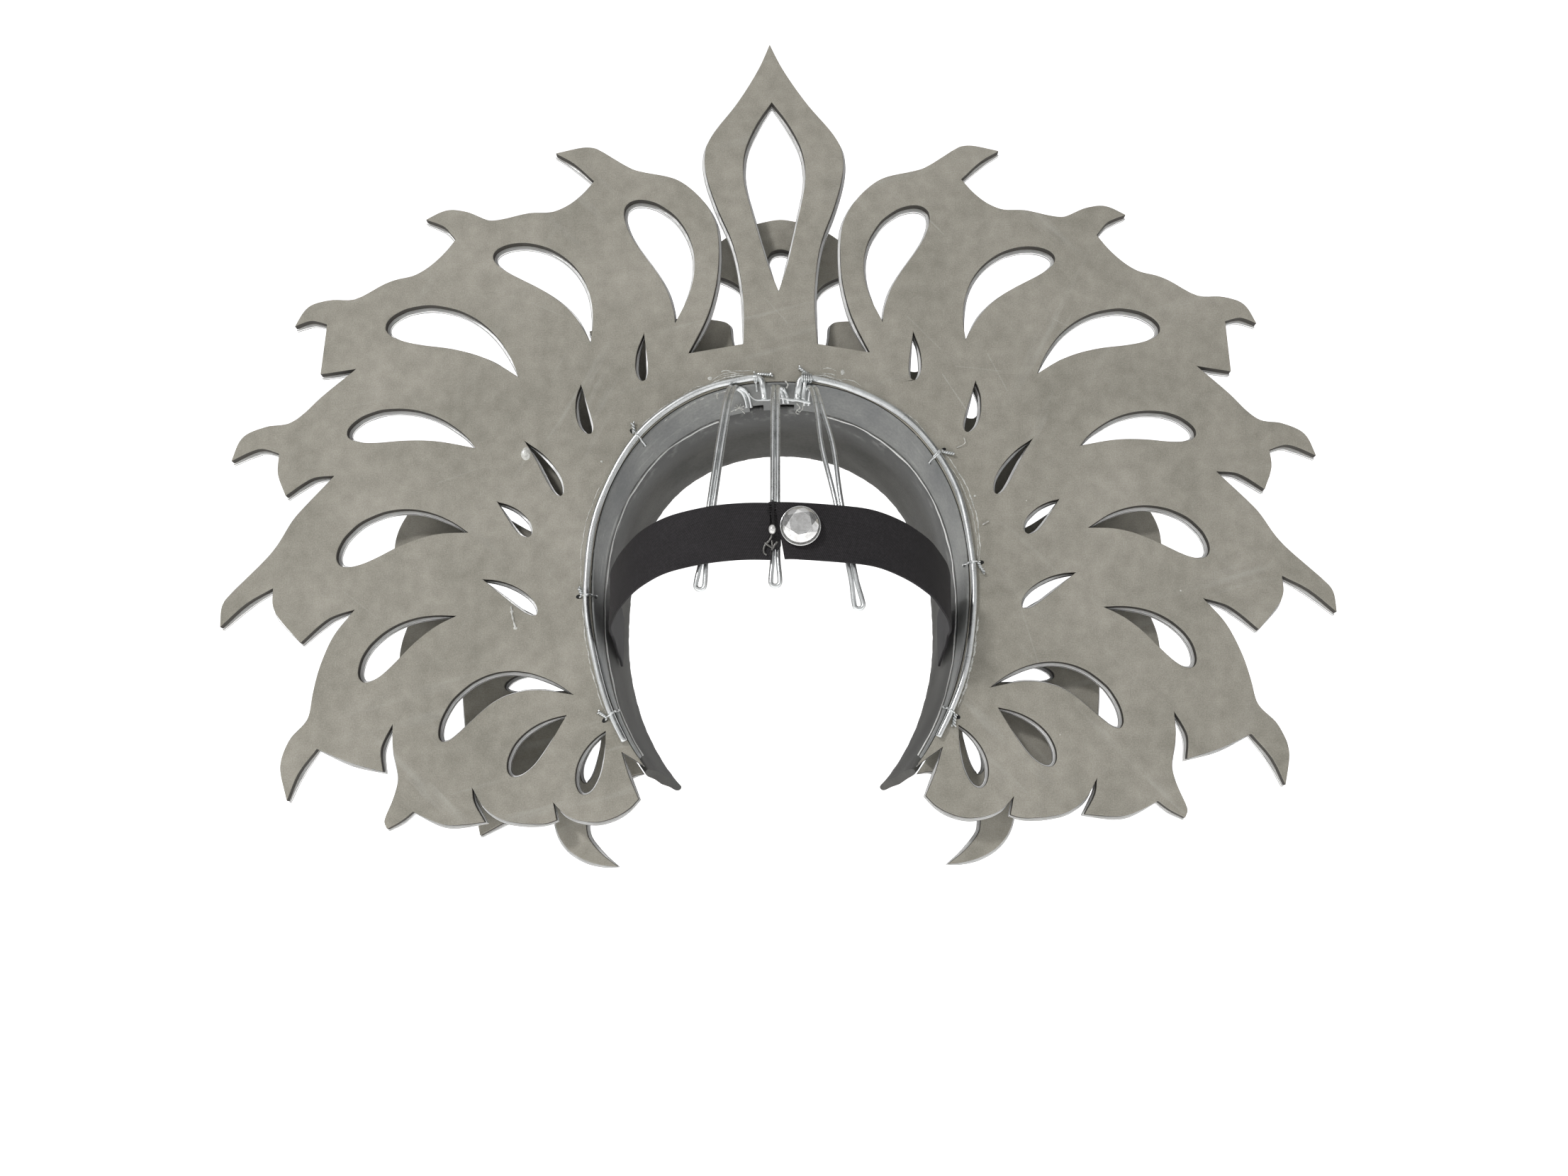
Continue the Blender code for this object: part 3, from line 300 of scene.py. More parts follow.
def softened(loop):
    """A closed outline as smooth curves through its points, which meet in its corners: where it turns very
    sharply, or fairly sharply between two long sides. The third column is each point's distance from the
    nearest corner, or 1 m on an outline without one."""
    ahead = np.roll(loop, -1, axis=0) - loop
    behind = np.roll(ahead, 1, axis=0)
    length = np.linalg.norm(ahead, axis=1)
    cross = behind[:, 0] * ahead[:, 1] - behind[:, 1] * ahead[:, 0]
    turn = np.degrees(np.abs(np.arctan2(cross, np.sum(behind * ahead, axis=1))))
    shorter = np.minimum(length, np.roll(length, 1))
    corners = np.flatnonzero((turn > SHARP_TURN) | ((turn > LONG_TURN) & (shorter > LONG_SIDE)))
    if not len(corners):
        wrapped = np.take(loop, np.arange(-3, len(loop) + 4), axis=0, mode="wrap")
        ring = through(wrapped, CUT_STEPS)[3 * CUT_STEPS:(3 + len(loop)) * CUT_STEPS]
        return np.column_stack((ring, np.ones(len(ring))))
    closed = np.roll(loop, -corners[0], axis=0)
    closed = np.vstack((closed, closed[:1]))
    stops = np.append(corners - corners[0], len(loop))
    parts = []
    for first, last in zip(stops, stops[1:]):
        part = through(closed[first:last + 1], CUT_STEPS)
        run = np.concatenate(([0.0], np.cumsum(np.linalg.norm(np.diff(part, axis=0), axis=1))))
        parts.append(np.column_stack((part, np.minimum(run, run[-1] - run)))[:-1])
    return np.vstack(parts)


def area(ring):
    """Signed area inside a closed outline."""
    after = np.roll(ring, -1, axis=0)
    return 0.5 * float(np.sum(ring[:, 0] * after[:, 1] - after[:, 0] * ring[:, 1]))


def widened(ring, margin, inside):
    """The outline moved into the open side by a margin, less near corners and in tight bends, and not at all
    round the head opening."""
    side = np.sign(area(ring)) * (-1.0 if inside else 1.0)
    along = np.roll(ring[:, :2], -1, axis=0) - np.roll(ring[:, :2], 1, axis=0)
    long = np.linalg.norm(along, axis=1)
    normal = np.column_stack((along[:, 1], -along[:, 0])) / long[:, None] * side
    bend = np.linalg.norm(np.roll(normal, -1, axis=0) - np.roll(normal, 1, axis=0), axis=1)
    room = 0.4 * long / np.maximum(bend, 1e-6)
    room = np.minimum(np.minimum(room, np.roll(room, 2)), np.minimum(np.roll(room, 1), np.roll(room, -1)))
    shift = margin * np.clip(ring[:, 2] / MARGIN_FADE, 0.0, 1.0)
    if not inside:
        shift *= np.clip((np.linalg.norm(ring[:, :2], axis=1) - MARGIN_START) / MARGIN_RISE, 0.0, 1.0)
    return ring[:, :2] + normal * np.minimum(shift, room)[:, None]


def sheet_outlines(mesh):
    """The closed outlines of a flat sheet's back face, point by point round each. Their edges join that face
    to a wall."""
    shape = bmesh.new()
    shape.from_mesh(mesh)
    bmesh.ops.remove_doubles(shape, verts=shape.verts, dist=SAME_PLACE)
    shape.normal_update()
    beside = {}
    for edge in shape.edges:
        if sorted(round(face.normal.y) for face in edge.link_faces) == [0, 1]:
            for corner in edge.verts:
                beside.setdefault(corner, []).append(edge.other_vert(corner))
    outlines = []
    while beside:
        way = [next(iter(beside))]
        while way[-1] in beside:
            onward = [corner for corner in beside.pop(way[-1]) if corner in beside]
            way += onward[:1]
        outlines.append(np.array([(corner.co.x, corner.co.z) for corner in way]))
    shape.free()
    return outlines


def cut_sheet(stands_for, margin=0.0):
    """A sheet cut anew to a node's outlines, softened and widened by a margin: a filling on the node's back
    face, the same filling turned over on its front face, and a wall between the edges of the two."""
    source = nodes[stands_for].data
    levels = [corner.co.y for corner in source.vertices]
    back, front = max(levels), min(levels)
    shape = bmesh.new()
    rings = [softened(outline) for outline in sheet_outlines(source)]
    rings.sort(key=lambda ring: -abs(area(ring)))
    for number, ring in enumerate(rings):
        ring = [shape.verts.new((x, back, z)) for x, z in widened(ring, margin, number > 0)]
        for first, last in zip(ring, ring[1:] + ring[:1]):
            shape.edges.new((first, last))
    bmesh.ops.triangle_fill(shape, use_beauty=True, edges=shape.edges[:])
    filling = shape.faces[:]
    rims = [edge.verts[:] for edge in shape.edges if edge.is_boundary]
    facing = {corner: shape.verts.new((corner.co.x, front, corner.co.z)) for corner in shape.verts[:]}
    for face in filling:
        shape.faces.new([facing[corner] for corner in reversed(face.verts[:])])
    for first, last in rims:
        shape.faces.new((first, last, facing[last], facing[first]))
    bmesh.ops.recalc_face_normals(shape, faces=shape.faces)
    bmesh.ops.dissolve_limit(shape, angle_limit=FLAT_ANGLE, verts=[], edges=shape.edges)
    return shape


def merged_block(stands_for):
    """A node's block with its loose triangles merged into whole faces."""
    shape = bmesh.new()
    shape.from_mesh(nodes[stands_for].data)
    bmesh.ops.remove_doubles(shape, verts=shape.verts, dist=SAME_PLACE)
    bmesh.ops.dissolve_limit(shape, angle_limit=FLAT_ANGLE, verts=shape.verts, edges=shape.edges)
    return shape


def knifed(name, shape, material, edge, stands_for):
    """A piece from a cut shape, whose knife edges are slightly rounded."""
    mesh = bpy.data.meshes.new(name)
    shape.to_mesh(mesh)
    shape.free()
    mesh.shade_smooth()
    mesh.set_sharp_from_angle(angle=EDGE_ANGLE)
    mesh.materials.clear()
    mesh.materials.append(material)
    piece = linked(name, mesh)
    rounding = piece.modifiers.new("rounding", "BEVEL")
    rounding.width = edge
    rounding.segments = 2
    rounding.limit_method = "ANGLE"
    rounding.angle_limit = EDGE_ANGLE
    rounding.use_clamp_overlap = False
    levelling = piece.modifiers.new("levelling", "WEIGHTED_NORMAL")
    levelling.keep_sharp = True
    levelling.weight = 100
    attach(piece, "root")
    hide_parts(stands_for)
    return piece


foam_skin = foam_finish()
for tier in ("rear", "front"):
    node = tier + "_plate_foam"
    knifed(tier + "_plate", cut_sheet(node), foam_skin, FOAM_EDGE, node)
for name in sorted(nodes):
    if name.startswith("spacer"):
        knifed(name + "_block", merged_block(name), foam_skin, FOAM_EDGE, name)

# Silver facing: a sheet with a bright metal film, glued to the front of each plate and trimmed just outside
# the foam. The film is slightly crumpled and brushed, and its edge shows as a thin white line round each cut.
FILM_PAINTED_DIM = (0.44, 0.442, 0.448)
FILM_PAINTED_BRIGHT = (0.64, 0.644, 0.65)
FILM_RAW = (0.86, 0.86, 0.85)
FILM_EDGE = 0.0003
FILM_SHADE = (0.07, 0.065, 0.06)
FILM_FRONT = 0.0083
FILM_BACK = 0.0053
FILM_MARGIN = 0.0009
TIER_STEP = 0.020


def film_finish():
    """Metal film: broad crumples dent it and change its colour as painted shading, and fine brushing lines
    run across it and vary its gloss. Its cut edge is bright between two dark lines of painted shade."""
    film = Finish("silver_film", FILM_PAINTED_BRIGHT, 0.24, 0.9)
    place = film.place()
    crumple = film.noise(place, 34.0, 4.0, 0.55)
    fine = film.noise(place, 420.0, 2.0, 0.6)
    brushed = film.noise(film.place((1.0, 1.0, 0.03)), 1500.0, 2.0, 0.5)
    aim = film.part_of(film.node("TexCoord", {}, {}, "Normal"), "Y")
    wall = abs(aim) < 0.8
    raw = aim > -0.8
    depth = 0.0 - film.part_of(place, "Y")
    level = depth.work("MODULO", depth, TIER_STEP)
    crooked = (film.noise(place, 90.0, 3.0) - 0.5) * 0.0012
    # Dark lines at the front and back of the film's cut wall: painted shade.
    edge_shade_lines = (level + crooked > FILM_FRONT - 0.0009) + (level + crooked < FILM_BACK + 0.0004)
    # The colour runs from dim to bright with the crumples: painted shading of the crumples.
    tone = film.mix(raw, film.ramp(crumple, (0.35, FILM_PAINTED_DIM), (0.62, FILM_PAINTED_BRIGHT)), FILM_RAW)
    film.feed("Base Color", film.mix(edge_shade_lines.smaller(1.0) * wall, tone, FILM_SHADE))
    film.feed("Metallic", 0.9 - raw * 0.35)
    film.feed("Roughness", 0.17 + fine * 0.12 + brushed * 0.1 + raw * 0.2)
    film.relief(crumple * 2.4 + fine * 0.12 + brushed * 0.05, 0.0009)
    return film.material


silver_film = film_finish()
for tier in ("rear", "front"):
    node = tier + "_plate_facing"
    knifed(tier + "_facing", cut_sheet(node, FILM_MARGIN), silver_film, FILM_EDGE, node)

# Head way: a strip of blue-grey painted foam slopes in from the rear plate's opening to the front tier, and
# its ends were trimmed with a knife. Glue has dried on it in pale smears, and two notches show at its top.
HOOP_HALF_WIDTH = 0.103
HOOP_TOP = 0.114
HOOP_BOTTOM = 0.140
HOOP_FULLNESS = 2.2
OPENING_INSET = 0.002
GAP = 0.0003
COLLAR_TAPER = 0.0085
COLLAR_FADE_FROM = 30.0
COLLAR_FADE_OVER = 100.0
COLLAR_BACK_WALL = 0.0012
COLLAR_FRONT_WALL = 0.002
COLLAR_FOOT = 141.0
COLLAR_ROUNDING = 0.0004
COLLAR_SWELL = 0.0002
NOTCH_DEPTH = 0.0042
NOTCH_WALL = 0.04
NOTCHES = ((5.3, 9.6), (-4.2, 0.2))
COLLAR_TONE = (0.238, 0.243, 0.238)
COLLAR_DEEP = (0.185, 0.19, 0.192)
COLLAR_PALE = (0.33, 0.333, 0.32)
GLUE_TONE = (0.62, 0.62, 0.58)
BAND_WALL = 0.004
BAND_DEPTH = 0.065
BAND_TAPER = 0.009
BAND_BACK_FOOT = 144.0
BAND_FRONT_FOOT = 151.0


def hoop_radius(angle):
    """Distance from the middle to the hoop line for an angle in degrees from straight up: the upper half is
    an oval whose corners are filled out by a power above 2, and the lower half is an ellipse with its own
    height."""
    turn = np.radians(angle)
    upper = np.cos(turn) >= 0.0
    power = np.where(upper, HOOP_FULLNESS, 2.0)
    wide = np.abs(np.sin(turn)) / HOOP_HALF_WIDTH
    high = np.abs(np.cos(turn)) / np.where(upper, HOOP_TOP, HOOP_BOTTOM)
    return (wide**power + high**power) ** (-1.0 / power)


def way_radius(angle, depth):
    """Distance from the middle to the inner face of the head way: the hoop line less the opening's inset and
    the collar's wall, less a taper over the tier step that fades out down the sides, less the head band's own
    taper."""
    fade = np.clip(1.0 - (np.abs(angle) - COLLAR_FADE_FROM) / COLLAR_FADE_OVER, 0.0, 1.0)
    collar = COLLAR_TAPER * fade * np.clip(depth / TIER_STEP, 0.0, 1.0)
    band = BAND_TAPER * np.maximum(depth - TIER_STEP, 0.0) / BAND_DEPTH
    return hoop_radius(angle) - OPENING_INSET - GAP - COLLAR_BACK_WALL - collar - band


def carried(angle, section):
    """A section carried round the opening: its points give a depth and a distance from the middle, which
    become x = r sin(angle), y = -depth and z = r cos(angle)."""
    turn = np.radians(angle)[:, None]
    depth, radius = section[..., 0], section[..., 1]
    return np.stack((radius * np.sin(turn), -depth, radius * np.cos(turn)), axis=-1)


def eased(corners, reach, steps=4):
    """A closed section whose corners are each replaced by a small parabola that starts and ends a reach away:
    (1 - t)^2 before + 2 t (1 - t) corner + t^2 after."""
    back = np.roll(corners, 1, axis=1) - corners
    ahead = np.roll(corners, -1, axis=1) - corners
    before = corners + reach * back / np.linalg.norm(back, axis=2, keepdims=True)
    after = corners + reach * ahead / np.linalg.norm(ahead, axis=2, keepdims=True)
    t = np.linspace(0.0, 1.0, steps)[None, None, :, None]
    curve = (1 - t)**2 * before[:, :, None] + 2 * t * (1 - t) * corners[:, :, None] + t**2 * after[:, :, None]
    return curve.reshape(len(corners), -1, 2)


def ripple(along, seed, *waves):
    """Sum of sines with the given lengths and heights, whose phases come from the seed."""
    phases = np.random.default_rng(seed).uniform(0.0, 2.0 * math.pi, len(waves))
    parts = zip(waves, phases)
    return sum(high * np.sin(2.0 * math.pi * along / long + phase) for (long, high), phase in parts)


def skin(name, grids, material, slot, *stands_for, crease=40.0):
    """One piece from closed grids of points: quads between neighbouring rows and columns, the last column
    joined to the first, and one face over each end row. Its UV map has metres along the rows and across
    them."""
    points, faces, charts = [], [], []
    count = 0
    for grid in grids:
        rows, columns = grid.shape[:2]
        index = count + np.arange(rows * columns).reshape(rows, columns)
        count += rows * columns
        wrapped = np.concatenate((grid, grid[:, :1]), axis=1)
        along = np.linalg.norm(np.diff(wrapped, axis=0), axis=2).mean(axis=1)
        across = np.linalg.norm(np.diff(wrapped, axis=1), axis=2).mean(axis=0)
        u, v = (np.concatenate(([0.0], np.cumsum(run))) for run in (along, across))
        chart = np.stack(np.meshgrid(u, v, indexing="ij"), axis=-1)
        after = np.roll(index, -1, axis=1)
        quads = np.stack((index[:-1], index[1:], after[1:], after[:-1]), axis=-1)
        corners = np.stack((chart[:-1, :-1], chart[1:, :-1], chart[1:, 1:], chart[:-1, 1:]), axis=2)
        faces += quads.reshape(-1, 4).tolist() + [index[0].tolist(), index[-1].tolist()]
        charts += [corners.reshape(-1, 2), chart[0, :-1], chart[-1, :-1]]
        points.append(grid.reshape(-1, 3))
    mesh = bpy.data.meshes.new(name)
    mesh.from_pydata(np.vstack(points).tolist(), [], faces)
    mesh.uv_layers.new(name="metres").data.foreach_set("uv", np.vstack(charts).ravel())
    shape = bmesh.new()
    shape.from_mesh(mesh)
    bmesh.ops.recalc_face_normals(shape, faces=shape.faces)
    shape.to_mesh(mesh)
    shape.free()
    mesh.shade_smooth()
    mesh.set_sharp_from_angle(angle=math.radians(crease))
    mesh.materials.append(material)
    piece = linked(name, mesh)
    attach(piece, "root")
    if stands_for:
        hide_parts(*stands_for)
    return piece


def collar_grid():
    """Four corners and two points along each face for every angle, eased, with the front edge set back in the
    notches and a slight swell in the sloping face."""
    steps = [np.linspace(-COLLAR_FOOT, COLLAR_FOOT, 261)]
    for first, last in NOTCHES:
        steps.append(np.array((first - NOTCH_WALL, first, last, last + NOTCH_WALL)))
    angle = np.sort(np.concatenate(steps))
    notched = sum((angle >= first) & (angle <= last) for first, last in NOTCHES)
    front = TIER_STEP - GAP - NOTCH_DEPTH * notched
    opening = hoop_radius(angle) - OPENING_INSET - GAP
    outer_front = np.minimum(way_radius(angle, TIER_STEP) + COLLAR_FRONT_WALL, opening)
    swell = COLLAR_SWELL + ripple(angle, 3, (23.0, 0.00007), (9.0, 0.00005))
    corners = [(np.zeros_like(angle), opening),
               (front, opening + (outer_front - opening) * front / TIER_STEP),
               (front, way_radius(angle, front))]
    for share in (0.66, 0.33):
        depth = front * share
        corners.append((depth, way_radius(angle, depth) - swell))
    corners.append((np.zeros_like(angle), way_radius(angle, 0.0)))
    section = np.stack([np.stack(corner, axis=-1) for corner in corners], axis=1)
    return carried(angle, eased(section, COLLAR_ROUNDING))


def collar_finish():
    """Painted foam: blue-grey with cloudy patches, thin pale glue smears along it and small white specks."""
    paint = Finish("collar_paint", COLLAR_TONE, 0.6)
    place = paint.place()
    cloud = paint.noise(place, 26.0, 4.0, 0.6)
    grain = paint.noise(place, 700.0, 2.0, 0.6)
    smear = paint.noise(paint.chart((0.16, 1.0, 1.0)), 260.0, 4.0, 0.6)
    patch = paint.noise(place, 12.0, 2.0)
    tone = cloud * 0.75 + grain * 0.25
    colour = paint.ramp(tone, (0.36, COLLAR_DEEP), (0.5, COLLAR_TONE), (0.68, COLLAR_PALE))
    streak = ((smear - 0.56).larger(0.0) * (patch - 0.45).larger(0.0) * 16.0).smaller(0.4)
    colour = paint.mix(streak, colour, GLUE_TONE)
    specks = sparse_marks(paint, place, 110.0, 0.0006, 0.05)
    paint.feed("Base Color", paint.mix(specks, colour, GLUE_TONE))
    paint.feed("Roughness", 0.55 + cloud * 0.2 - streak * 0.5)
    paint.relief(grain * 0.4 + smear * 0.3 + specks, 0.0002)
    return paint.material


collar_paint = collar_finish()
skin("collar_strip", [collar_grid()], collar_paint, "collar_grey", "collar")

# Piping: the silver sheet's raw edge and a run of white glue make a thin crooked line round the collar's
# inner edge, from beside the prongs down to the feet on each side.
PIPING_STARTS = {"left": 20.0, "right": 14.0}
PIPING_RADIUS = 0.00038
PIPING_INSET = 0.00025
PIPING_BACK = 0.0004
PIPING_TONE = (0.84, 0.84, 0.82)
SIDES = {"left": 1, "right": -1}


def tube(path, radius, reference, sides=14, flat=1.0, blunt=0.5):
    """Skin round a path: each point carries a ring across the path, whose first axis is the reference made
    square to the path and shortened by flat, and three shrinking rings at each end round it over."""
    path = np.asarray(path, dtype=float)
    radius = np.broadcast_to(radius, len(path))
    along = np.gradient(path, axis=0)
    along /= np.linalg.norm(along, axis=1)[:, None]
    first = np.broadcast_to(np.asarray(reference, dtype=float), path.shape)
    first = first - along * np.sum(along * first, axis=1)[:, None]
    first /= np.linalg.norm(first, axis=1)[:, None]
    lean = np.radians((80.0, 55.0, 28.0))
    start = path[0] - along[0] * (blunt * radius[0] * np.sin(lean))[:, None]
    end = path[-1] + along[-1] * (blunt * radius[-1] * np.sin(lean[::-1]))[:, None]
    path = np.vstack((start, path, end))
    radius = np.concatenate((radius[0] * np.cos(lean), radius, radius[-1] * np.cos(lean[::-1])))
    first = np.vstack((np.repeat(first[:1], 3, axis=0), first, np.repeat(first[-1:], 3, axis=0)))
    along = np.vstack((np.repeat(along[:1], 3, axis=0), along, np.repeat(along[-1:], 3, axis=0)))
    second = np.cross(along, first)
    turn = np.linspace(0.0, 2.0 * math.pi, sides, endpoint=False)[None, :, None]
    ring = flat * np.cos(turn) * first[:, None] + np.sin(turn) * second[:, None]
    return path[:, None] + radius[:, None, None] * ring


def piping_grid(side, start):
    """The collar's inner edge less the piping's own radius, which wanders and swells along the way."""
    angle = np.linspace(start, COLLAR_FOOT, 240)
    thick = PIPING_RADIUS + ripple(angle, 5 + side, (31.0, 0.00008), (11.0, 0.00006))
    wander = ripple(angle, 8 + side, (17.0, 0.0001), (5.3, 0.00004))
    radius = way_radius(angle, TIER_STEP) - GAP - thick - PIPING_INSET + wander
    depth = TIER_STEP - PIPING_BACK + ripple(angle, 2 + side, (23.0, 0.0003), (9.1, 0.0001))
    turn = np.radians(side * angle)
    path = np.column_stack((radius * np.sin(turn), -depth, radius * np.cos(turn)))
    return tube(path, thick, (0.0, 1.0, 0.0), 10)


def edge_finish():
    """Bright cut edge: near white with dull flecks of glue."""
    edge = Finish("bright_edge", PIPING_TONE, 0.35, 0.2)
    fleck = edge.noise(edge.chart((0.4, 1.0, 1.0)), 900.0, 3.0, 0.6)
    edge.feed("Base Color", edge.ramp(fleck, (0.3, (0.55, 0.55, 0.53)), (0.42, PIPING_TONE)))
    edge.feed("Roughness", 0.3 + fleck * 0.25)
    edge.relief(fleck, 0.0002)
    return edge.material


bright_edge = edge_finish()
for label, side in SIDES.items():
    grid = piping_grid(side, PIPING_STARTS[label])
    skin("piping_" + label, [grid], bright_edge, "silver_facing", "collar_piping_" + label)

# Head band: a dark cloth-covered pad, 65 mm deep, that closes round the head in front of the front tier.
# Its faces are slightly crowned between the two edges, where the cover is drawn in. Glue marks its back edge.
BAND_CROWN = 0.0003
BAND_TONE = (0.066, 0.064, 0.056)
BAND_DEEP = (0.036, 0.035, 0.03)
BAND_BACK_PALE = (0.115, 0.116, 0.114)
BAND_WEAVE = 0.0009


def band_grid():
    """For every angle the wall's section is a flattened oval, |y/a|^5 + |r/b|^2.6 = 1, whose middle line
    follows the taper; the foot angle grows from the back edge to the front one, and small puckers run in from
    both edges."""
    share = np.linspace(-1.0, 1.0, 220)[:, None]
    turn = np.linspace(0.0, 2.0 * math.pi, 72, endpoint=False)[None, :]
    run = np.sign(np.cos(turn)) * np.abs(np.cos(turn)) ** (2.0 / 5.0)
    swell = np.sign(np.sin(turn)) * np.abs(np.sin(turn)) ** (2.0 / 2.6)
    depth = TIER_STEP + GAP + 0.5 * BAND_DEPTH * (1.0 + 0.99 * run)
    foot = BAND_BACK_FOOT + (BAND_FRONT_FOOT - BAND_BACK_FOOT) * (depth - TIER_STEP) / BAND_DEPTH
    angle = share * foot
    pucker = np.abs(run) ** 3 * ripple(angle, 11, (5.3, 0.00018), (3.1, 0.00012))
    pucker = pucker + ripple(angle + 40.0 * run, 12, (37.0, 0.0003))
    half = 0.5 * BAND_WALL + BAND_CROWN
    middle = way_radius(angle, depth) + 0.5 * BAND_WALL + GAP
    radius = middle + half * swell + pucker * np.abs(swell)
    turn = np.radians(angle)
    back = np.broadcast_to(-depth, radius.shape)
    return np.stack((radius * np.sin(turn), back, radius * np.cos(turn)), axis=-1)


def cloth_finish():
    """Plain dark weave: fine squares of thread, faded patches, and glue smears near the back edge."""
    cloth = Finish("band_cloth", BAND_TONE, 0.85, 0.0, Sheen_Weight=0.12, Sheen_Roughness=0.5)
    place = cloth.place()
    chart = cloth.chart()
    warp = (cloth.part_of(chart, "X") * (2.0 * math.pi / BAND_WEAVE)).sine()
    weft = (cloth.part_of(chart, "Y") * (2.0 * math.pi / BAND_WEAVE)).sine()
    worn = cloth.noise(place, 24.0, 4.0, 0.6)
    lint = cloth.noise(place, 600.0, 2.0, 0.6)
    colour = cloth.ramp(worn * 0.7 + lint * 0.3, (0.38, BAND_DEEP), (0.62, BAND_TONE))
    upper = (cloth.part_of(place, "Z") * 9.0 + 0.7).larger(0.12).smaller(1.0)
    # Paler near the back edge and towards the top, darker deeper in and lower down.
    paler_back_zone = ((cloth.part_of(place, "Y") + 0.046 + worn * 0.006) * 42.0).larger(0.0).smaller(0.8) * upper
    colour = cloth.mix(paler_back_zone, colour, BAND_BACK_PALE)
    near_edge = ((cloth.part_of(place, "Y") + TIER_STEP + 0.016) * 55.0).larger(0.0).smaller(1.0)
    smear = (cloth.noise(cloth.place((1.0, 1.0, 0.4)), 150.0, 4.0, 0.6) - 0.52).larger(0.0) * near_edge
    smear = (smear * 5.0).smaller(0.45) * upper
    cloth.feed("Base Color", cloth.mix(smear, colour, COLLAR_PALE))
    cloth.feed("Roughness", 0.9 - smear * 0.5)
    cloth.relief(warp * weft * 0.3 + lint * 0.5 + smear, 0.00014)
    return cloth.material


band_cloth = cloth_finish()
skin("head_pad", [band_grid()], band_cloth, "band_black", "head_band")

# Hoop: two halves of 3.5 mm galvanised wire laid on the rear plate round the opening, each with its top end
# bent down into the way. A thin link wire is wound under both ends, and beside the right end a short spare
# wire was pushed in.
HOOP_WIRE = 0.0035
HOOP_TOP_GAP = 0.021
HOOP_ENDS = {1: 136.4, -1: 135.2}
HOOP_STUB = 0.012
HOOP_SHOULDER = 1.2
STUB_COLUMNS = ("sideways", "down", "behind")
STUB_BEND = ((0.86, 1.0, 0.0), (0.87, 0.8, 0.0), (0.93, 0.5, 0.8), (0.99, 0.2, 1.0))
ZINC_PALE = (0.88, 0.9, 0.9)
ZINC_TONE = (0.72, 0.737, 0.735)
ZINC_DEEP = (0.56, 0.57, 0.57)
LINK_WIRE = 0.0009
LINK_BEND = 0.0015
LINK_PATH = ((1.9, -2.4), (1.75, -1.0), (1.5, -0.1), (1.0, 0.0), (0.7, 0.0), (0.35, -0.5), (0.0, -0.7),
             (-0.35, -0.5), (-0.7, 0.0), (-1.0, 0.0), (-1.4, 0.6), (-1.8, 1.1))
SPARE_WIRE = 0.0023
SPARE_PATH = ((-13.8, 1.6, 112.2), (-13.2, 1.9, 109.5), (-12.6, 1.2, 105.0), (-12.4, 0.4, 101.9))


def on_hoop(side, angle, outwards=0.0, level=0.0):
    """A point beside the hoop line: an angle from the top, a distance outwards and a height off the foam."""
    turn = math.radians(side * angle)
    radius = float(hoop_radius(angle)) + outwards
    return np.array((radius * math.sin(turn), level, radius * math.cos(turn)))


def hoop_path(side):
    """The bent stub from its tip up, then the hoop line down to the wire's foot, up to 0.6 mm out of true."""
    start = math.degrees(math.asin(HOOP_TOP_GAP / 2 / HOOP_TOP))
    rest = GAP + HOOP_WIRE / 2
    stub = [(side * cell["sideways"] * HOOP_TOP_GAP / 2, rest * cell["behind"],
             float(hoop_radius(start)) - HOOP_STUB * cell["down"])
            for cell in rows_of(STUB_COLUMNS, STUB_BEND)]
    angle = np.linspace(start + HOOP_SHOULDER, HOOP_ENDS[side], 24)
    fade_in = np.clip((angle - start) / 20.0, 0.0, 1.0)
    wander = ripple(angle, 20 + side, (61.0, 0.0004), (27.0, 0.0002)) * fade_in
    run = [on_hoop(side, one, off, rest) for one, off in zip(angle, wander)]
    return through(np.vstack((stub, run)), 8)


def zinc_finish():
    """Dull zinc: cloudy spangle, darker pits and drawing marks along the wire."""
    zinc = Finish("zinc", ZINC_TONE, 0.36, 1.0)
    place = zinc.place()
    cloud = zinc.noise(place, 160.0, 3.0, 0.6)
    pits = zinc.noise(place, 1100.0, 2.0, 0.7)
    drawn = zinc.noise(zinc.chart((0.05, 1.0, 1.0)), 1800.0, 2.0, 0.5)
    tone = cloud * 0.4 + pits * 0.2 + drawn * 0.35
    zinc.feed("Base Color", zinc.ramp(tone, (0.3, ZINC_DEEP), (0.42, ZINC_TONE), (0.58, ZINC_PALE)))
    zinc.feed("Roughness", 0.19 + pits * 0.16 + cloud * 0.06)
    zinc.relief(pits * 0.3 + drawn * 0.4 + cloud * 0.15, 0.00008)
    return zinc.material


zinc = zinc_finish()
for label, side in SIDES.items():
    path = hoop_path(side)
    thick = HOOP_WIRE / 2 + ripple(np.arange(len(path)), 30 + side, (57.0, 0.00004), (19.0, 0.00003))
    grid = tube(path, thick, (0.12, 1.0, 0.05), 20, blunt=0.35)
    skin("hoop_wire_" + label, [grid], zinc, "galvanised_wire", "hoop_" + label)

stub_height = float(hoop_radius(math.degrees(math.asin(HOOP_TOP_GAP / 2 / HOOP_TOP)))) - HOOP_STUB
stub_reach = STUB_BEND[0][0] * HOOP_TOP_GAP / 2
link = through([(stub_reach * sideways, 0.0, stub_height - GAP - LINK_WIRE / 2 - LINK_BEND * down)
                for sideways, down in LINK_PATH], 8)
flattened = 1.0 / (1.0 + np.exp((link[:, 0] + 0.002) * 2500.0))
link_radius = 0.5 * LINK_WIRE * (0.85 + 0.75 * flattened)
spare = through(np.array(SPARE_PATH) / 1000.0, 8)
link_grids = [tube(link, link_radius, (0.0, 1.0, 0.0), 10),
              tube(spare, SPARE_WIRE / 2, (0.0, 1.0, 0.3), 12, blunt=0.3)]
skin("link_wire", link_grids, zinc, "galvanised_wire", "top_link")

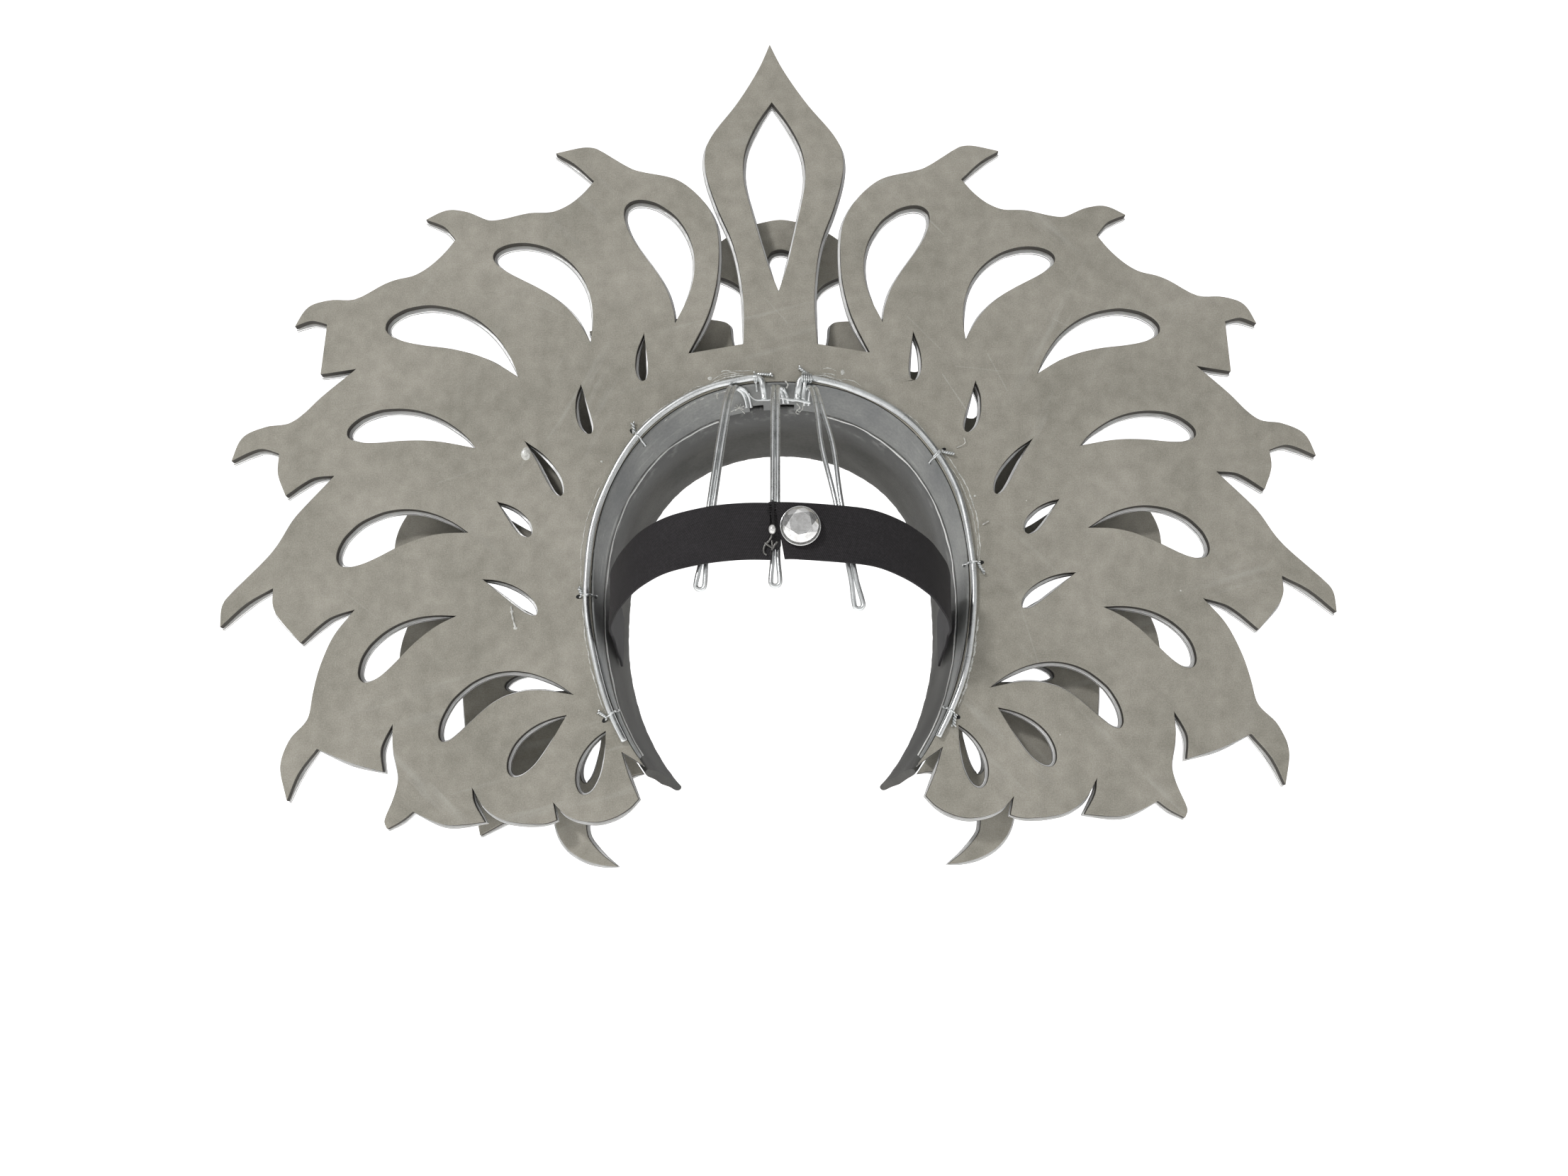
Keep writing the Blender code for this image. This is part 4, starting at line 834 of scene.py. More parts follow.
# Ties: thin wire pushed through the foam on both sides of the hoop, drawn over it and twisted up tight.
# The tail of each is nipped off short and pressed down, and the two holes are painted as dark dots of
# shade on the foam.
TIE_WIRE = 0.0011
TIE_STEPS = 14
TIE_DEPTH = 0.0045
# Side, number on that side, angle down the hoop, direction of the tail from straight outwards, its length in
# millimetres, its turns, and how many times the wire goes round the hoop besides once over it
TIE_COLUMNS = ("side", "number", "angle", "lean", "length", "turns", "wraps")
TIES = (
    (1, 1, 6.9, -99.0, 9.5, 3.6, 1), (1, 2, 44.0, -35.0, 5.5, 1.6, 0), (1, 3, 94.5, -72.0, 5.0, 1.7, 0),
    (1, 4, 129.0, -60.0, 6.5, 2.6, 0), (-1, 1, 7.2, -58.0, 6.0, 2.2, 4), (-1, 2, 50.5, 48.0, 7.5, 2.8, 1),
    (-1, 3, 84.5, 66.0, 7.0, 2.3, 0), (-1, 4, 128.0, 74.0, 6.0, 2.0, 0),
)
WRAP_STEP = 0.0013
HOLE_RADIUS = 0.0012
HOLE_HEIGHT = 0.00012


def tie_grids(cell):
    """Two strands: one comes up by the inner hole and over the hoop, the other up by the outer hole. From
    there both wind round the tail's line, middle + r (cos t across + sin t up), and splay at its end."""
    side, angle = cell["side"], cell["angle"]
    middle = on_hoop(side, angle)
    out = middle / np.linalg.norm(middle)
    down = on_hoop(side, angle + 0.5) - on_hoop(side, angle - 0.5)
    down /= np.linalg.norm(down)
    up = np.array((0.0, 1.0, 0.0))
    thick = TIE_WIRE / 2
    rest = GAP + HOOP_WIRE / 2
    loop = HOOP_WIRE / 2 + thick + GAP / 2
    lean = math.radians(cell["lean"])
    tail = out * math.cos(lean) + down * math.sin(lean)
    across = np.cross(tail, up)
    root = middle + out * (loop + 0.3 * thick) + up * 1.7 * thick
    length = cell["length"] / 1000.0
    foot = out * float(way_radius(angle, TIE_DEPTH)) - up * TIE_DEPTH
    share = np.linspace(0.0, 1.0, TIE_STEPS)
    grids = []
    for strand, phase in ((0, 0.0), (1, math.pi)):
        wind = phase + 2.0 * math.pi * cell["turns"] * share
        line = root + np.outer(length * share, tail) + np.outer(0.0009 * share**2, up)
        wide = 1.02 * thick * (1.0 + 0.9 * np.clip(share - 0.88, 0.0, 1.0) / 0.12)
        wound = line + np.outer(wide * np.cos(wind), across) + np.outer(wide * np.sin(wind), up)
        if strand == 0:
            inner = float(way_radius(angle, 0.4 * TIE_DEPTH)) - 1.7 * thick
            lead = [foot, out * inner - up * 0.4 * TIE_DEPTH,
                    middle - out * (loop + 0.2 * thick) + up * 0.9 * thick]
            last = 8 * cell["wraps"] + 4
            turns = np.radians(np.linspace(170.0, 15.0 - 360.0 * cell["wraps"], last + 1))
            for step, turn in enumerate(turns):
                shift = down * WRAP_STEP * (0.5 * cell["wraps"] - cell["wraps"] * step / last)
                lead.append(middle + shift + out * loop * math.cos(turn)
                            + up * (rest + loop * math.sin(turn)))
        else:
            lead = [root + out * 3.4 * thick - tail * thick - up * 4.0 * thick,
                    root + out * 2.0 * thick - tail * 0.6 * thick + up * 0.2 * thick]
        grids.append(tube(through(np.vstack((lead, wound)), 4), thick, down + 0.05 * up, 8, blunt=0.2))
    return grids


def hole_grid(place, along, normal):
    """A low dome over a wire hole: rings that shrink and rise as the cosine and sine of a quarter turn."""
    turn = np.radians(np.linspace(0.0, 80.0, 4))[:, None, None]
    round_turn = np.linspace(0.0, 2.0 * math.pi, 12, endpoint=False)[None, :, None]
    second = np.cross(along, normal)
    ring = np.cos(round_turn) * along * 1.5 + np.sin(round_turn) * second
    return place + HOLE_RADIUS * np.cos(turn) * ring + normal * (HOLE_HEIGHT * np.sin(turn) + 0.00003)


holes = []
for cell in rows_of(TIE_COLUMNS, TIES):
    which = ("left_" if cell["side"] > 0 else "right_") + str(cell["number"])
    skin("tie_wire_" + which, tie_grids(cell), zinc, "galvanised_wire", "tie_" + which)
    centre = on_hoop(cell["side"], cell["angle"])
    out = centre / np.linalg.norm(centre)
    back = np.array((0.0, 1.0, 0.0))
    if cell["number"] > 1:
        holes.append(hole_grid(centre + out * (HOOP_WIRE / 2 + TIE_WIRE * 2.3), out, back))
        inner = float(way_radius(cell["angle"], TIE_DEPTH))
        holes.append(hole_grid(out * inner - back * TIE_DEPTH, back, -out))

# The domes over the holes are near black: painted shade inside the holes.
pitch = Finish("painted_hole_shade", (0.012, 0.012, 0.012), 0.95)
pitch.relief(pitch.noise(pitch.place(), 2500.0), 0.0001)
skin("tie_hole_shades", holes, pitch.material, "grey_foam")

# Prongs: hairpins of 2.4 mm galvanised wire, bent double, that hang over the back of the head. Each top
# arches over like a cane's handle, and its short leg is pushed into the collar; each bottom ends in a loop.
PRONG_WIRE = 0.0024
PRONG_PITCH = 0.0025
PRONG_LOOP_PITCH = 0.0043
PRONG_TAPER = 0.013
PRONG_STRAP_CLEARANCE = 0.0009
STRAP_WIDTH = 0.028
STRAP_THICKNESS = 0.0015
STRAP_REACH = 0.092
STRAP_SIDE_INSET = 0.0035
STRAP_CENTRE_HEIGHT = 0.0045
STRAP_SIDE_HEIGHT = -0.013
STRAP_DIP = 0.020
COLLAR_PIPING = 0.0016
PRONG_TURNS = (0.1, 0.22, 0.36, 0.5, 0.64, 0.76, 0.88, 1.0)
# Sideways place of the top and of the end, height of the end, the strands' spread halfway, and the short
# leg's points as shifts from the top in millimetres, sideways, forwards and up
PRONG_COLUMNS = ("label", "top", "end", "low", "spread", "leg")
PRONGS = (
    ("left", 0.0252, 0.0385, -0.019, 0.0, ((-7.6, 12.5, -7.0), (-6.4, 7.0, -3.2), (-3.8, 3.0, -0.4))),
    ("centre", 0.0026, 0.0022, -0.0195, 0.0, ((-5.6, 8.5, -5.8), (-4.6, 4.5, -3.2), (-2.5, 1.6, -0.6))),
    ("right", -0.0166, -0.0378, -0.0285, 0.0016, ((2.4, 12.0, -6.0), (2.2, 7.0, -2.2), (1.4, 2.6, 0.4))),
)
PRONG_TOP = 0.1082
PRONG_ARCH = 0.003


def strap_wall(depth, height):
    """Sideways place of the strap's middle line where its lower edge clears the way's wall."""
    angle = 90.0 - math.degrees(math.asin((height - STRAP_WIDTH / 2) / HOOP_HALF_WIDTH))
    wall = float(way_radius(angle, depth)) * math.sin(math.radians(angle))
    return wall - GAP - COLLAR_PIPING - GAP - STRAP_THICKNESS / 2


strap_side = strap_wall(TIER_STEP, STRAP_SIDE_HEIGHT) - STRAP_SIDE_INSET


def prong_grid(cell):
    """Down the back of the head the middle line is a quarter ellipse, y = reach sin t and z from the top to
    the end as cos t; the two strands run half a pitch to each side of it and meet round the loop."""
    radius = PRONG_WIRE / 2
    reach = STRAP_REACH - STRAP_THICKNESS / 2 - PRONG_STRAP_CLEARANCE - radius
    top = np.array((cell["top"], 0.002, PRONG_TOP))
    leg = [top + np.array((aside, -inwards, up)) / 1000.0 for aside, inwards, up in cell["leg"]]
    run = []
    for share in PRONG_TURNS:
        turn = 0.5 * math.pi * share
        x = cell["top"] + (cell["end"] - cell["top"]) * share**2
        width = math.sqrt(1.0 - ((abs(x) + PRONG_LOOP_PITCH / 2 + radius) / strap_side)**2)
        height = cell["low"] + (PRONG_TOP - PRONG_ARCH - cell["low"]) * math.cos(turn)
        run.append((x, reach * width * math.sin(turn), height))
    line = through(np.vstack((leg, top, run)), 14)
    left = np.concatenate((np.cumsum(np.linalg.norm(np.diff(line, axis=0), axis=1)[::-1])[::-1], [0.0]))
    near_end = np.clip(1.0 - left / PRONG_TAPER, 0.0, 1.0)
    half = 0.5 * (PRONG_PITCH + (PRONG_LOOP_PITCH - PRONG_PITCH) * near_end**2 * (3.0 - 2.0 * near_end))
    half += cell["spread"] * np.exp(-((left - 0.085) / 0.022)**2)
    half -= 0.3 * radius * np.clip(1.0 - (len(line) - np.arange(len(line))[::-1]) / 40.0, 0.0, 1.0)
    half = np.maximum(half, 1.04 * radius)
    across = np.column_stack((half, np.zeros(len(line)), np.zeros(len(line))))
    turns = np.linspace(0.0, math.pi, 12)[1:-1]
    bend = line[-1] + half[-1] * np.column_stack((np.cos(turns), 0.0 * turns, -np.sin(turns)))
    path = np.vstack((line + across, bend, (line - across)[::-1]))
    return tube(path, radius, (1.0, 0.85, 0.6), 14, blunt=0.3)


for cell in rows_of(PRONG_COLUMNS, PRONGS):
    skin("prong_wire_" + cell["label"], [prong_grid(cell)], zinc, "galvanised_wire", "prong_" + cell["label"])

# Strap: two lengths of black woven elastic, 28 mm wide, from inside the head band round the back of the head.
# They meet at the clasp, 3 mm apart, where black thread is wound from one to the other over a strip of tape,
# and the right one's end is cut aslant.
STRAP_END_HEIGHT = -0.024
STRAP_TUCK = 0.030
STRAP_JOIN_OFFSET = 0.0037
STRAP_JOIN_GAP = 0.003
STRAP_ROUNDING = 0.0005
STRAP_SLANT = 0.0048
STRAP_HEM = {1: 0.0008, -1: -0.0004}
STRAP_FULLNESS = 2.2
ELASTIC_TONE = (0.016, 0.0143, 0.0156)
ELASTIC_DEEP = (0.006, 0.0055, 0.006)
ELASTIC_PALE = (0.042, 0.038, 0.042)
WEAVE_ROW = 0.00066
WEAVE_DASH = 0.00105
WEAVE_SHIFT = 0.36
THREAD_RADIUS = 0.00028
# From the middle of the join: the tape's two ends in metres, and the thread's loose end in millimetres
TAPE_TOP = (-0.0006, -0.0011, 0.0132)
TAPE_FOOT = (-0.0006, -0.0011, -0.007)
THREAD_END = ((0.4, 1.2, 15.0), (-0.5, 1.5, 12.0), (-0.2, 1.3, 8.0), (-0.5, 1.5, 4.5), (-0.4, 1.6, 1.8))


def strap_points(x):
    """The strap's middle line behind the head: seen from above half of a slightly filled-out ellipse, and it
    dips towards its sides with the fourth power of the way there."""
    share = np.abs(x) / strap_side
    return np.stack((x, STRAP_REACH * np.maximum(1.0 - share**STRAP_FULLNESS, 0.0) ** (1.0 / STRAP_FULLNESS),
                     STRAP_CENTRE_HEIGHT - STRAP_DIP * share**4), axis=-1)


def strap_grid(side):
    """The flat section carried along the middle line, square to it seen from above, with rounded edges and a
    slight ripple; near the join the cut leans by a slant from the top edge to the bottom one."""
    start = STRAP_JOIN_OFFSET + side * STRAP_JOIN_GAP / 2 - STRAP_HEM[side]
    first = math.asin(start / strap_side * side)
    turn = np.linspace(first, 0.5 * math.pi, 150)
    path = strap_points(side * strap_side * np.sin(turn))
    end_depth = TIER_STEP + STRAP_TUCK
    end_reach = strap_wall(end_depth, STRAP_END_HEIGHT) + COLLAR_PIPING - GAP
    share = np.linspace(0.0, 1.0, 26)[1:]
    side_height = STRAP_CENTRE_HEIGHT - STRAP_DIP
    tuck = np.stack((side * (strap_side + (end_reach - strap_side) * share), -share * end_depth,
                     side_height + (STRAP_END_HEIGHT - side_height) * share), axis=-1)
    path = np.vstack((path, tuck))
    along = np.gradient(path, axis=0)
    out = np.column_stack((along[:, 1], -along[:, 0], np.zeros(len(path)))) * side
    out /= np.linalg.norm(out, axis=1)[:, None]
    heights = np.linspace(0.5, -0.5, 9) * STRAP_WIDTH
    half = STRAP_THICKNESS / 2
    face = np.stack((np.full(9, half), heights), axis=-1)
    back = np.stack((np.full(9, -half), heights[::-1]), axis=-1)
    section = eased(np.vstack((face, back))[None], STRAP_ROUNDING)[0]
    spread = section[:, 1] / STRAP_WIDTH
    travelled = np.concatenate(([0.0], np.cumsum(np.linalg.norm(np.diff(path, axis=0), axis=1))))
    skewed = travelled[:, None] + 0.004 * spread[None]
    ruffle = ripple(skewed, 41 + side, (0.041, 0.0002), (0.023, 0.0001)) * np.abs(2.0 * spread)[None]**2
    grid = path[:, None] + out[:, None] * (section[:, 0] + ruffle)[..., None]
    grid[..., 2] += section[None, :, 1] + ripple(travelled[:, None], 45 + side, (0.047, 0.00025))
    near = np.clip(1.0 - travelled / 0.012, 0.0, 1.0)[:, None]
    slant = STRAP_SLANT * (0.5 - spread)[None] if side < 0 else 0.0006 * (0.5 + spread)[None]
    grid[..., 0] += side * near * slant
    return grid


def elastic_finish():
    """Woven elastic: rows of threads across the strap's width plus dashes along it, which shift by a part of
    a dash from row to row. Their raised threads are painted lighter as highlight, and there is worn grey lint
    and a faint sheen."""
    elastic = Finish("woven_elastic", ELASTIC_TONE, 0.8, 0.0, Sheen_Weight=0.03, Sheen_Roughness=0.4,
                     Specular_IOR_Level=0.35)
    chart = elastic.chart()
    row = elastic.part_of(chart, "Y") * (2.0 * math.pi / WEAVE_ROW)
    dash = (elastic.part_of(chart, "X") * (2.0 * math.pi / WEAVE_DASH) + row * WEAVE_SHIFT).sine()
    weave = row.sine() * 0.28 + dash * 0.22 + 0.5
    lint = elastic.noise(elastic.place(), 700.0, 2.0, 0.6)
    wave = elastic.noise(elastic.chart((0.5, 1.0, 1.0)), 60.0, 3.0, 0.6)
    weave_highlight_and_lint = weave * 0.4 + lint * 0.4 + wave * 0.2
    # Lighter on the weave's raised threads: painted highlight; the lint in it is real.
    colour = elastic.ramp(weave_highlight_and_lint, (0.3, ELASTIC_DEEP), (0.48, ELASTIC_TONE), (0.74, ELASTIC_PALE))
    elastic.feed("Base Color", colour)
    elastic.feed("Roughness", 0.7 + lint * 0.25)
    elastic.relief(weave * 0.7 + lint * 0.3, 0.00012)
    return elastic.material


elastic = elastic_finish()
for label, side in SIDES.items():
    skin("strap_length_" + label, [strap_grid(side)], elastic, "black_elastic", "strap_" + label)

join = strap_points(np.array(STRAP_JOIN_OFFSET))
tape = np.linspace(join + TAPE_TOP, join + TAPE_FOOT, 9)
stitches = [tube(tape, 0.0036, (0.0, 1.0, 0.0), 20, flat=0.06)]
stitch_draw = np.random.default_rng(51)
for number in range(5):
    height = join[2] + STRAP_WIDTH * (0.47 - 0.045 * number)
    reach, sag = stitch_draw.uniform(0.0022, 0.0034), stitch_draw.uniform(-0.0007, 0.0007)
    turn = np.linspace(0.0, 2.0 * math.pi, 25)
    loop = np.column_stack((join[0] + reach * np.cos(turn), join[1] + 0.00125 * np.sin(turn),
                            height + sag * np.cos(turn)))
    stitches.append(tube(loop, THREAD_RADIUS, (0.0, 0.0, 1.0), 6))
for shift in (-0.0003, 0.0004):
    line = through(np.array(THREAD_END) / 1000.0 + (join[0] + shift, join[1], STRAP_CENTRE_HEIGHT), 6)
    stitches.append(tube(line, THREAD_RADIUS, (1.0, 0.0, 0.0), 6))
thread = Finish("black_thread", ELASTIC_TONE, 0.6)
ply = (thread.part_of(thread.chart(), "X") * 9000.0 + thread.part_of(thread.chart(), "Y") * 5000.0).sine()
thread.feed("Roughness", 0.5 + ply * 0.1)
thread.relief(ply, 0.0001)
skin("join_thread", stitches, thread.material, "black_elastic")

# Clasp: an oval pearly bead sewn over the join and, under it, a hook of thin wire that closes the strap.
BEAD_HALF_WIDTH = 0.0017
BEAD_HALF_HEIGHT = 0.0023
CLASP_BEAD = 0.0048
CLASP_WIRE = 0.0011
HOOK_TONE = (0.2, 0.195, 0.185)
HOOK_PATH = ((0.1, 0.0, -0.02), (0.15, 0.3, 0.03), (0.55, 0.35, 0.1), (1.2, 0.3, 0.16), (1.55, 0.2, 0.24),
             (1.45, 0.2, 0.31), (1.05, 0.15, 0.345))
EYE_PATH = ((1.3, 0.5, 0.145), (0.5, 0.75, 0.2), (-0.1, 0.6, 0.225), (-0.5, 0.5, 0.17), (-0.9, 0.4, 0.125))
STEM_PATH = ((0.05, 0.2, 0.1), (0.0, 0.5, 0.17), (0.05, 0.4, 0.26))


def bead_grid(place):
    """A stretched ball: rings of width sin t at heights cos t, pulled in slightly at both holes."""
    turn = np.radians(np.linspace(6.0, 174.0, 21))[:, None]
    spin = np.linspace(0.0, 2.0 * math.pi, 24, endpoint=False)[None, :]
    wide = BEAD_HALF_WIDTH * np.sin(turn) ** 0.85
    return place + np.stack((wide * np.cos(spin), wide * np.sin(spin),
                             BEAD_HALF_HEIGHT * np.cos(turn) + 0.0 * spin), axis=-1)


pearl = Finish("pearl_bead", (0.83, 0.82, 0.79), 0.22, 0.35, Coat_Weight=0.7, Coat_Roughness=0.08)
pearl_cloud = pearl.noise(pearl.place(), 900.0, 3.0, 0.6)
pearl.feed("Base Color", pearl.ramp(pearl_cloud, (0.35, (0.66, 0.65, 0.63)), (0.6, (0.88, 0.87, 0.85))))
pearl.feed("Roughness", 0.15 + pearl_cloud * 0.15)
strap_face = join[1] + STRAP_THICKNESS / 2 + GAP
bead_place = np.array((join[0], strap_face + CLASP_BEAD / 2, join[2]))
skin("pearl_clasp", [bead_grid(bead_place)], pearl.material, "bright_metal", "clasp_bead")

hook_reach = STRAP_JOIN_GAP / 2 + CLASP_WIRE
hook = []
for path in (HOOK_PATH, EYE_PATH, STEM_PATH):
    points = [(join[0] + hook_reach * aside, strap_face + CLASP_WIRE * (0.5 + behind),
               join[2] - BEAD_HALF_HEIGHT - STRAP_WIDTH * down) for aside, behind, down in path]
    hook.append(tube(through(points, 8), CLASP_WIRE / 2, (0.0, 1.0, 0.1), 10))
hook_steel = Finish("hook_steel", HOOK_TONE, 0.3, 1.0)
hook_marks = hook_steel.noise(hook_steel.place(), 1500.0, 3.0, 0.6)
hook_steel.feed("Roughness", 0.2 + hook_marks * 0.25)
hook_steel.relief(hook_marks, 0.00006)
skin("hook_wire", hook, hook_steel.material, "galvanised_wire", "clasp_hook")

# Button: a clear acrylic stone, cut with an eight-sided table and silvered behind, held in a thin bright cup
# that is sewn to the strap's right half.
BUTTON_RADIUS = 0.0098
BUTTON_HEIGHT = 0.0055
BUTTON_OFFSET = 0.0134
BUTTON_RAISE = 0.002
BUTTON_CUP_WALL = 0.0008
BUTTON_CUP_HEIGHT = 0.0019
STONE_TABLE = 0.64
STONE_MIDDLE = 0.83
STONE_BASE = 0.82
STONE_GIRDLE = 0.42
STONE_GIRDLE_EDGE = 0.0006
STONE_TURN = 12.0
FACETS = 8


def stone_mesh():
    """Five rings of corners: a base, the girdle's two edges with four points to a facet, a middle ring turned
    by half a facet near the height where the kite-shaped facets stay flat, and the table."""
    radius = BUTTON_RADIUS - BUTTON_CUP_WALL - GAP
    half = math.pi / FACETS
    top, girdle = BUTTON_HEIGHT, STONE_GIRDLE * BUTTON_HEIGHT
    fall = (top - girdle) / (1.0 - STONE_TABLE)
    middle = top - fall * (STONE_MIDDLE * math.cos(half) - STONE_TABLE) * 0.97
    rings = ((STONE_BASE, 0.0, 2, 0.0), (1.0, girdle - STONE_GIRDLE_EDGE, 4, 0.0), (1.0, girdle, 4, 0.0),
             (STONE_MIDDLE, middle, 1, 1.0), (STONE_TABLE, top, 1, 0.0))
    points = []
    for wide, level, share, shift in rings:
        turn = np.arange(FACETS * share) * 2.0 * half / share + shift * half + math.radians(STONE_TURN)
        ring = (radius * wide * np.cos(turn), np.full(len(turn), level), radius * wide * np.sin(turn))
        points.append(np.column_stack(ring))
    return np.vstack(points)


button_place = strap_points(np.array(STRAP_JOIN_OFFSET - BUTTON_OFFSET)) + np.array((0.0, 0.0, BUTTON_RAISE))
button_face = STRAP_REACH + STRAP_THICKNESS / 2 + GAP
crystal = Finish("silvered_crystal", (0.9, 0.9, 0.89), 0.06, 0.82, Coat_Weight=1.0, Coat_Roughness=0.02)
reflection_patches = crystal.noise(crystal.place(), 420.0, 3.0, 0.6)
# The stone's colour is lighter and darker in patches: painted reflections inside its facets.
crystal.feed("Base Color", crystal.ramp(reflection_patches, (0.35, (0.74, 0.73, 0.72)), (0.6, (0.95, 0.95, 0.94))))
crystal.feed("Roughness", 0.03 + reflection_patches * 0.1)
shape = bmesh.new()
for point in stone_mesh() + np.array((button_place[0], button_face + BUTTON_CUP_WALL + GAP, button_place[2])):
    shape.verts.new(point)
bmesh.ops.convex_hull(shape, input=shape.verts)
bmesh.ops.dissolve_limit(shape, angle_limit=math.radians(1.0), verts=shape.verts, edges=shape.edges)
bmesh.ops.recalc_face_normals(shape, faces=shape.faces)
stone_shape = bpy.data.meshes.new("cut_stone")
shape.to_mesh(stone_shape)
shape.free()
stone_shape.materials.append(crystal.material)
stone = linked("cut_stone", stone_shape)
polish = stone.modifiers.new("polish", "BEVEL")
polish.width = 0.00009
polish.segments = 1
polish.limit_method = "ANGLE"
polish.angle_limit = math.radians(3.0)
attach(stone, "root")
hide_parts("button_stone")


def cup_grid():
    """The cup's wall turned round its axis: up outside, over a rolled rim and down inside to the floor."""
    inner = BUTTON_RADIUS - BUTTON_CUP_WALL
    rim = np.linspace(0.0, math.pi, 8)
    middle, half = (BUTTON_RADIUS + inner) / 2, BUTTON_CUP_WALL / 2
    radius = np.concatenate(([0.0002, BUTTON_RADIUS - 0.0006, BUTTON_RADIUS], middle + half * np.cos(rim),
                             [inner, inner - 0.0004, 0.0002]))
    level = np.concatenate(([0.0, 0.0, 0.0004], BUTTON_CUP_HEIGHT - half + half * np.sin(rim),
                            [BUTTON_CUP_WALL + 0.0002, BUTTON_CUP_WALL, BUTTON_CUP_WALL]))
    turn = np.linspace(0.0, 2.0 * math.pi, 64, endpoint=False)[None, :]
    spread = radius[:, None]
    return np.stack((button_place[0] + spread * np.cos(turn), button_face + level[:, None] + 0.0 * turn,
                     button_place[2] + spread * np.sin(turn)), axis=-1)


chrome = Finish("cup_metal", (0.8, 0.8, 0.79), 0.18, 1.0)
chrome_marks = chrome.noise(chrome.place(), 700.0, 3.0, 0.6)
chrome.feed("Roughness", 0.1 + chrome_marks * 0.2)
chrome.relief(chrome_marks, 0.0001)
skin("button_rim", [cup_grid()], chrome.material, "bright_metal", "button_cup")

# Glue: clear hot glue runs in a thin ridge beside the hoop, has dried in scraped lines round its top, and
# has drawn out into threads. There is a drop below the left slits and a star of threads on the collar.
GLUE_DEEP = (0.36, 0.355, 0.33)
GLUE_CLEAR = (0.7, 0.7, 0.67)
# Ridges beside the hoop: side, first and last angle, then in millimetres the distance outwards at the start,
# middle and end, and the half width
RIDGE_COLUMNS = ("side", "first", "last", "start", "middle", "end", "half")
RIDGES = (
    (-1, 50.0, 84.0, 3.2, 6.2, 3.4, 0.32), (-1, 54.0, 86.0, 2.6, 4.2, 2.6, 0.2),
    (-1, 100.0, 126.0, 2.6, 3.0, 2.8, 0.6), (-1, 10.0, 46.0, -3.2, -3.0, -2.6, 0.3),
    (1, 12.0, 43.0, -3.2, -3.4, -2.7, 0.35), (1, 60.0, 93.0, 2.6, 4.4, 2.6, 0.18),
    (1, 46.0, 92.0, -2.6, -2.8, -2.5, 0.25), (1, 96.0, 128.0, 2.5, 2.6, 2.5, 0.3),
    (-1, 52.0, 83.0, -2.6, -2.7, -2.5, 0.22), (1, 8.0, 19.0, 2.5, 3.4, 2.6, 0.45),
    (1, 9.5, 16.5, 3.6, 4.8, 4.6, 0.22), (1, 11.5, 18.5, 4.6, 6.2, 3.9, 0.2),
    (1, 7.5, 12.5, 5.2, 5.8, 6.4, 0.18), (1, 13.0, 15.5, 6.4, 7.6, 7.0, 0.3),
    (-1, 9.0, 17.0, 2.5, 3.4, 2.5, 0.4), (-1, 10.5, 15.0, 4.4, 5.0, 4.2, 0.2),
    (-1, 11.0, 14.5, 7.0, 8.0, 7.4, 0.25), (-1, 16.0, 22.0, 3.2, 4.4, 3.6, 0.18),
    (1, 21.0, 27.0, 2.8, 3.6, 2.9, 0.2), (-1, 34.0, 44.0, 2.6, 3.1, 2.6, 0.22),
    (1, 29.0, 41.0, 2.5, 2.9, 2.5, 0.22),
)
# Threads and drops: points in millimetres in the crown's frame, and a half width
THREAD_COLUMNS = ("points", "half")
GLUE_THREADS = (
    (((27.6, -11.0, 98.4), (24.0, -12.6, 100.6), (19.6, -12.4, 102.4)), 0.22),
    (((21.6, -11.4, 104.8), (23.0, -12.4, 101.2), (25.2, -12.8, 99.6)), 0.2),
    (((19.8, -14.0, 98.2), (22.6, -12.8, 100.8), (24.6, -12.0, 103.0)), 0.2),
    (((20.6, -12.4, 100.2), (22.8, -12.6, 101.0), (25.6, -12.0, 101.4)), 0.18),
    (((-9.0, -6.0, 101.4), (-10.6, -8.0, 99.6), (-8.8, -9.4, 98.4), (-8.6, -10.0, 97.2),
      (-10.2, -9.0, 96.4)), 0.3),
    (((-12.2, -5.0, 101.0), (-12.0, -8.0, 98.8), (-10.2, -9.6, 97.8), (-9.0, -9.0, 99.0)), 0.25),
    (((34.8, -1.4, 103.4), (34.6, -1.2, 107.2)), 0.3),
    (((40.0, -0.8, 105.8), (35.0, -1.0, 107.6), (30.6, -1.0, 108.6)), 0.22),
    (((-2.6, 0.8, 112.0), (-4.0, 0.6, 110.0), (-3.2, 0.4, 108.2)), 0.4),
    (((-95.5, 0.5, 74.0), (-100.0, 1.8, 76.4), (-99.4, 2.8, 79.0)), 0.2),
    (((-108.5, 0.6, 31.0), (-111.6, 1.2, 32.8)), 0.3),
    (((143.0, 0.3, -13.6), (142.6, 0.5, -17.0), (141.8, 0.4, -20.6), (140.2, 0.3, -25.6)), 0.45),
)
# Flat drops: place sideways and up, half width, half height and thickness, in millimetres
DROP_COLUMNS = ("aside", "up", "wide", "high", "thick")
GLUE_DROPS = (
    (138.1, 70.8, 2.6, 3.7, 0.5), (34.6, 102.8, 0.6, 0.7, 0.9), (142.6, -16.4, 0.9, 0.9, 0.6),
    (140.4, -25.4, 1.2, 0.8, 0.6), (38.6, 113.8, 1.3, 1.1, 0.5), (-34.0, 117.4, 1.1, 1.6, 0.4),
    (-104.8, 47.2, 0.8, 0.6, 0.6), (97.0, 66.4, 0.7, 0.6, 0.5),
)


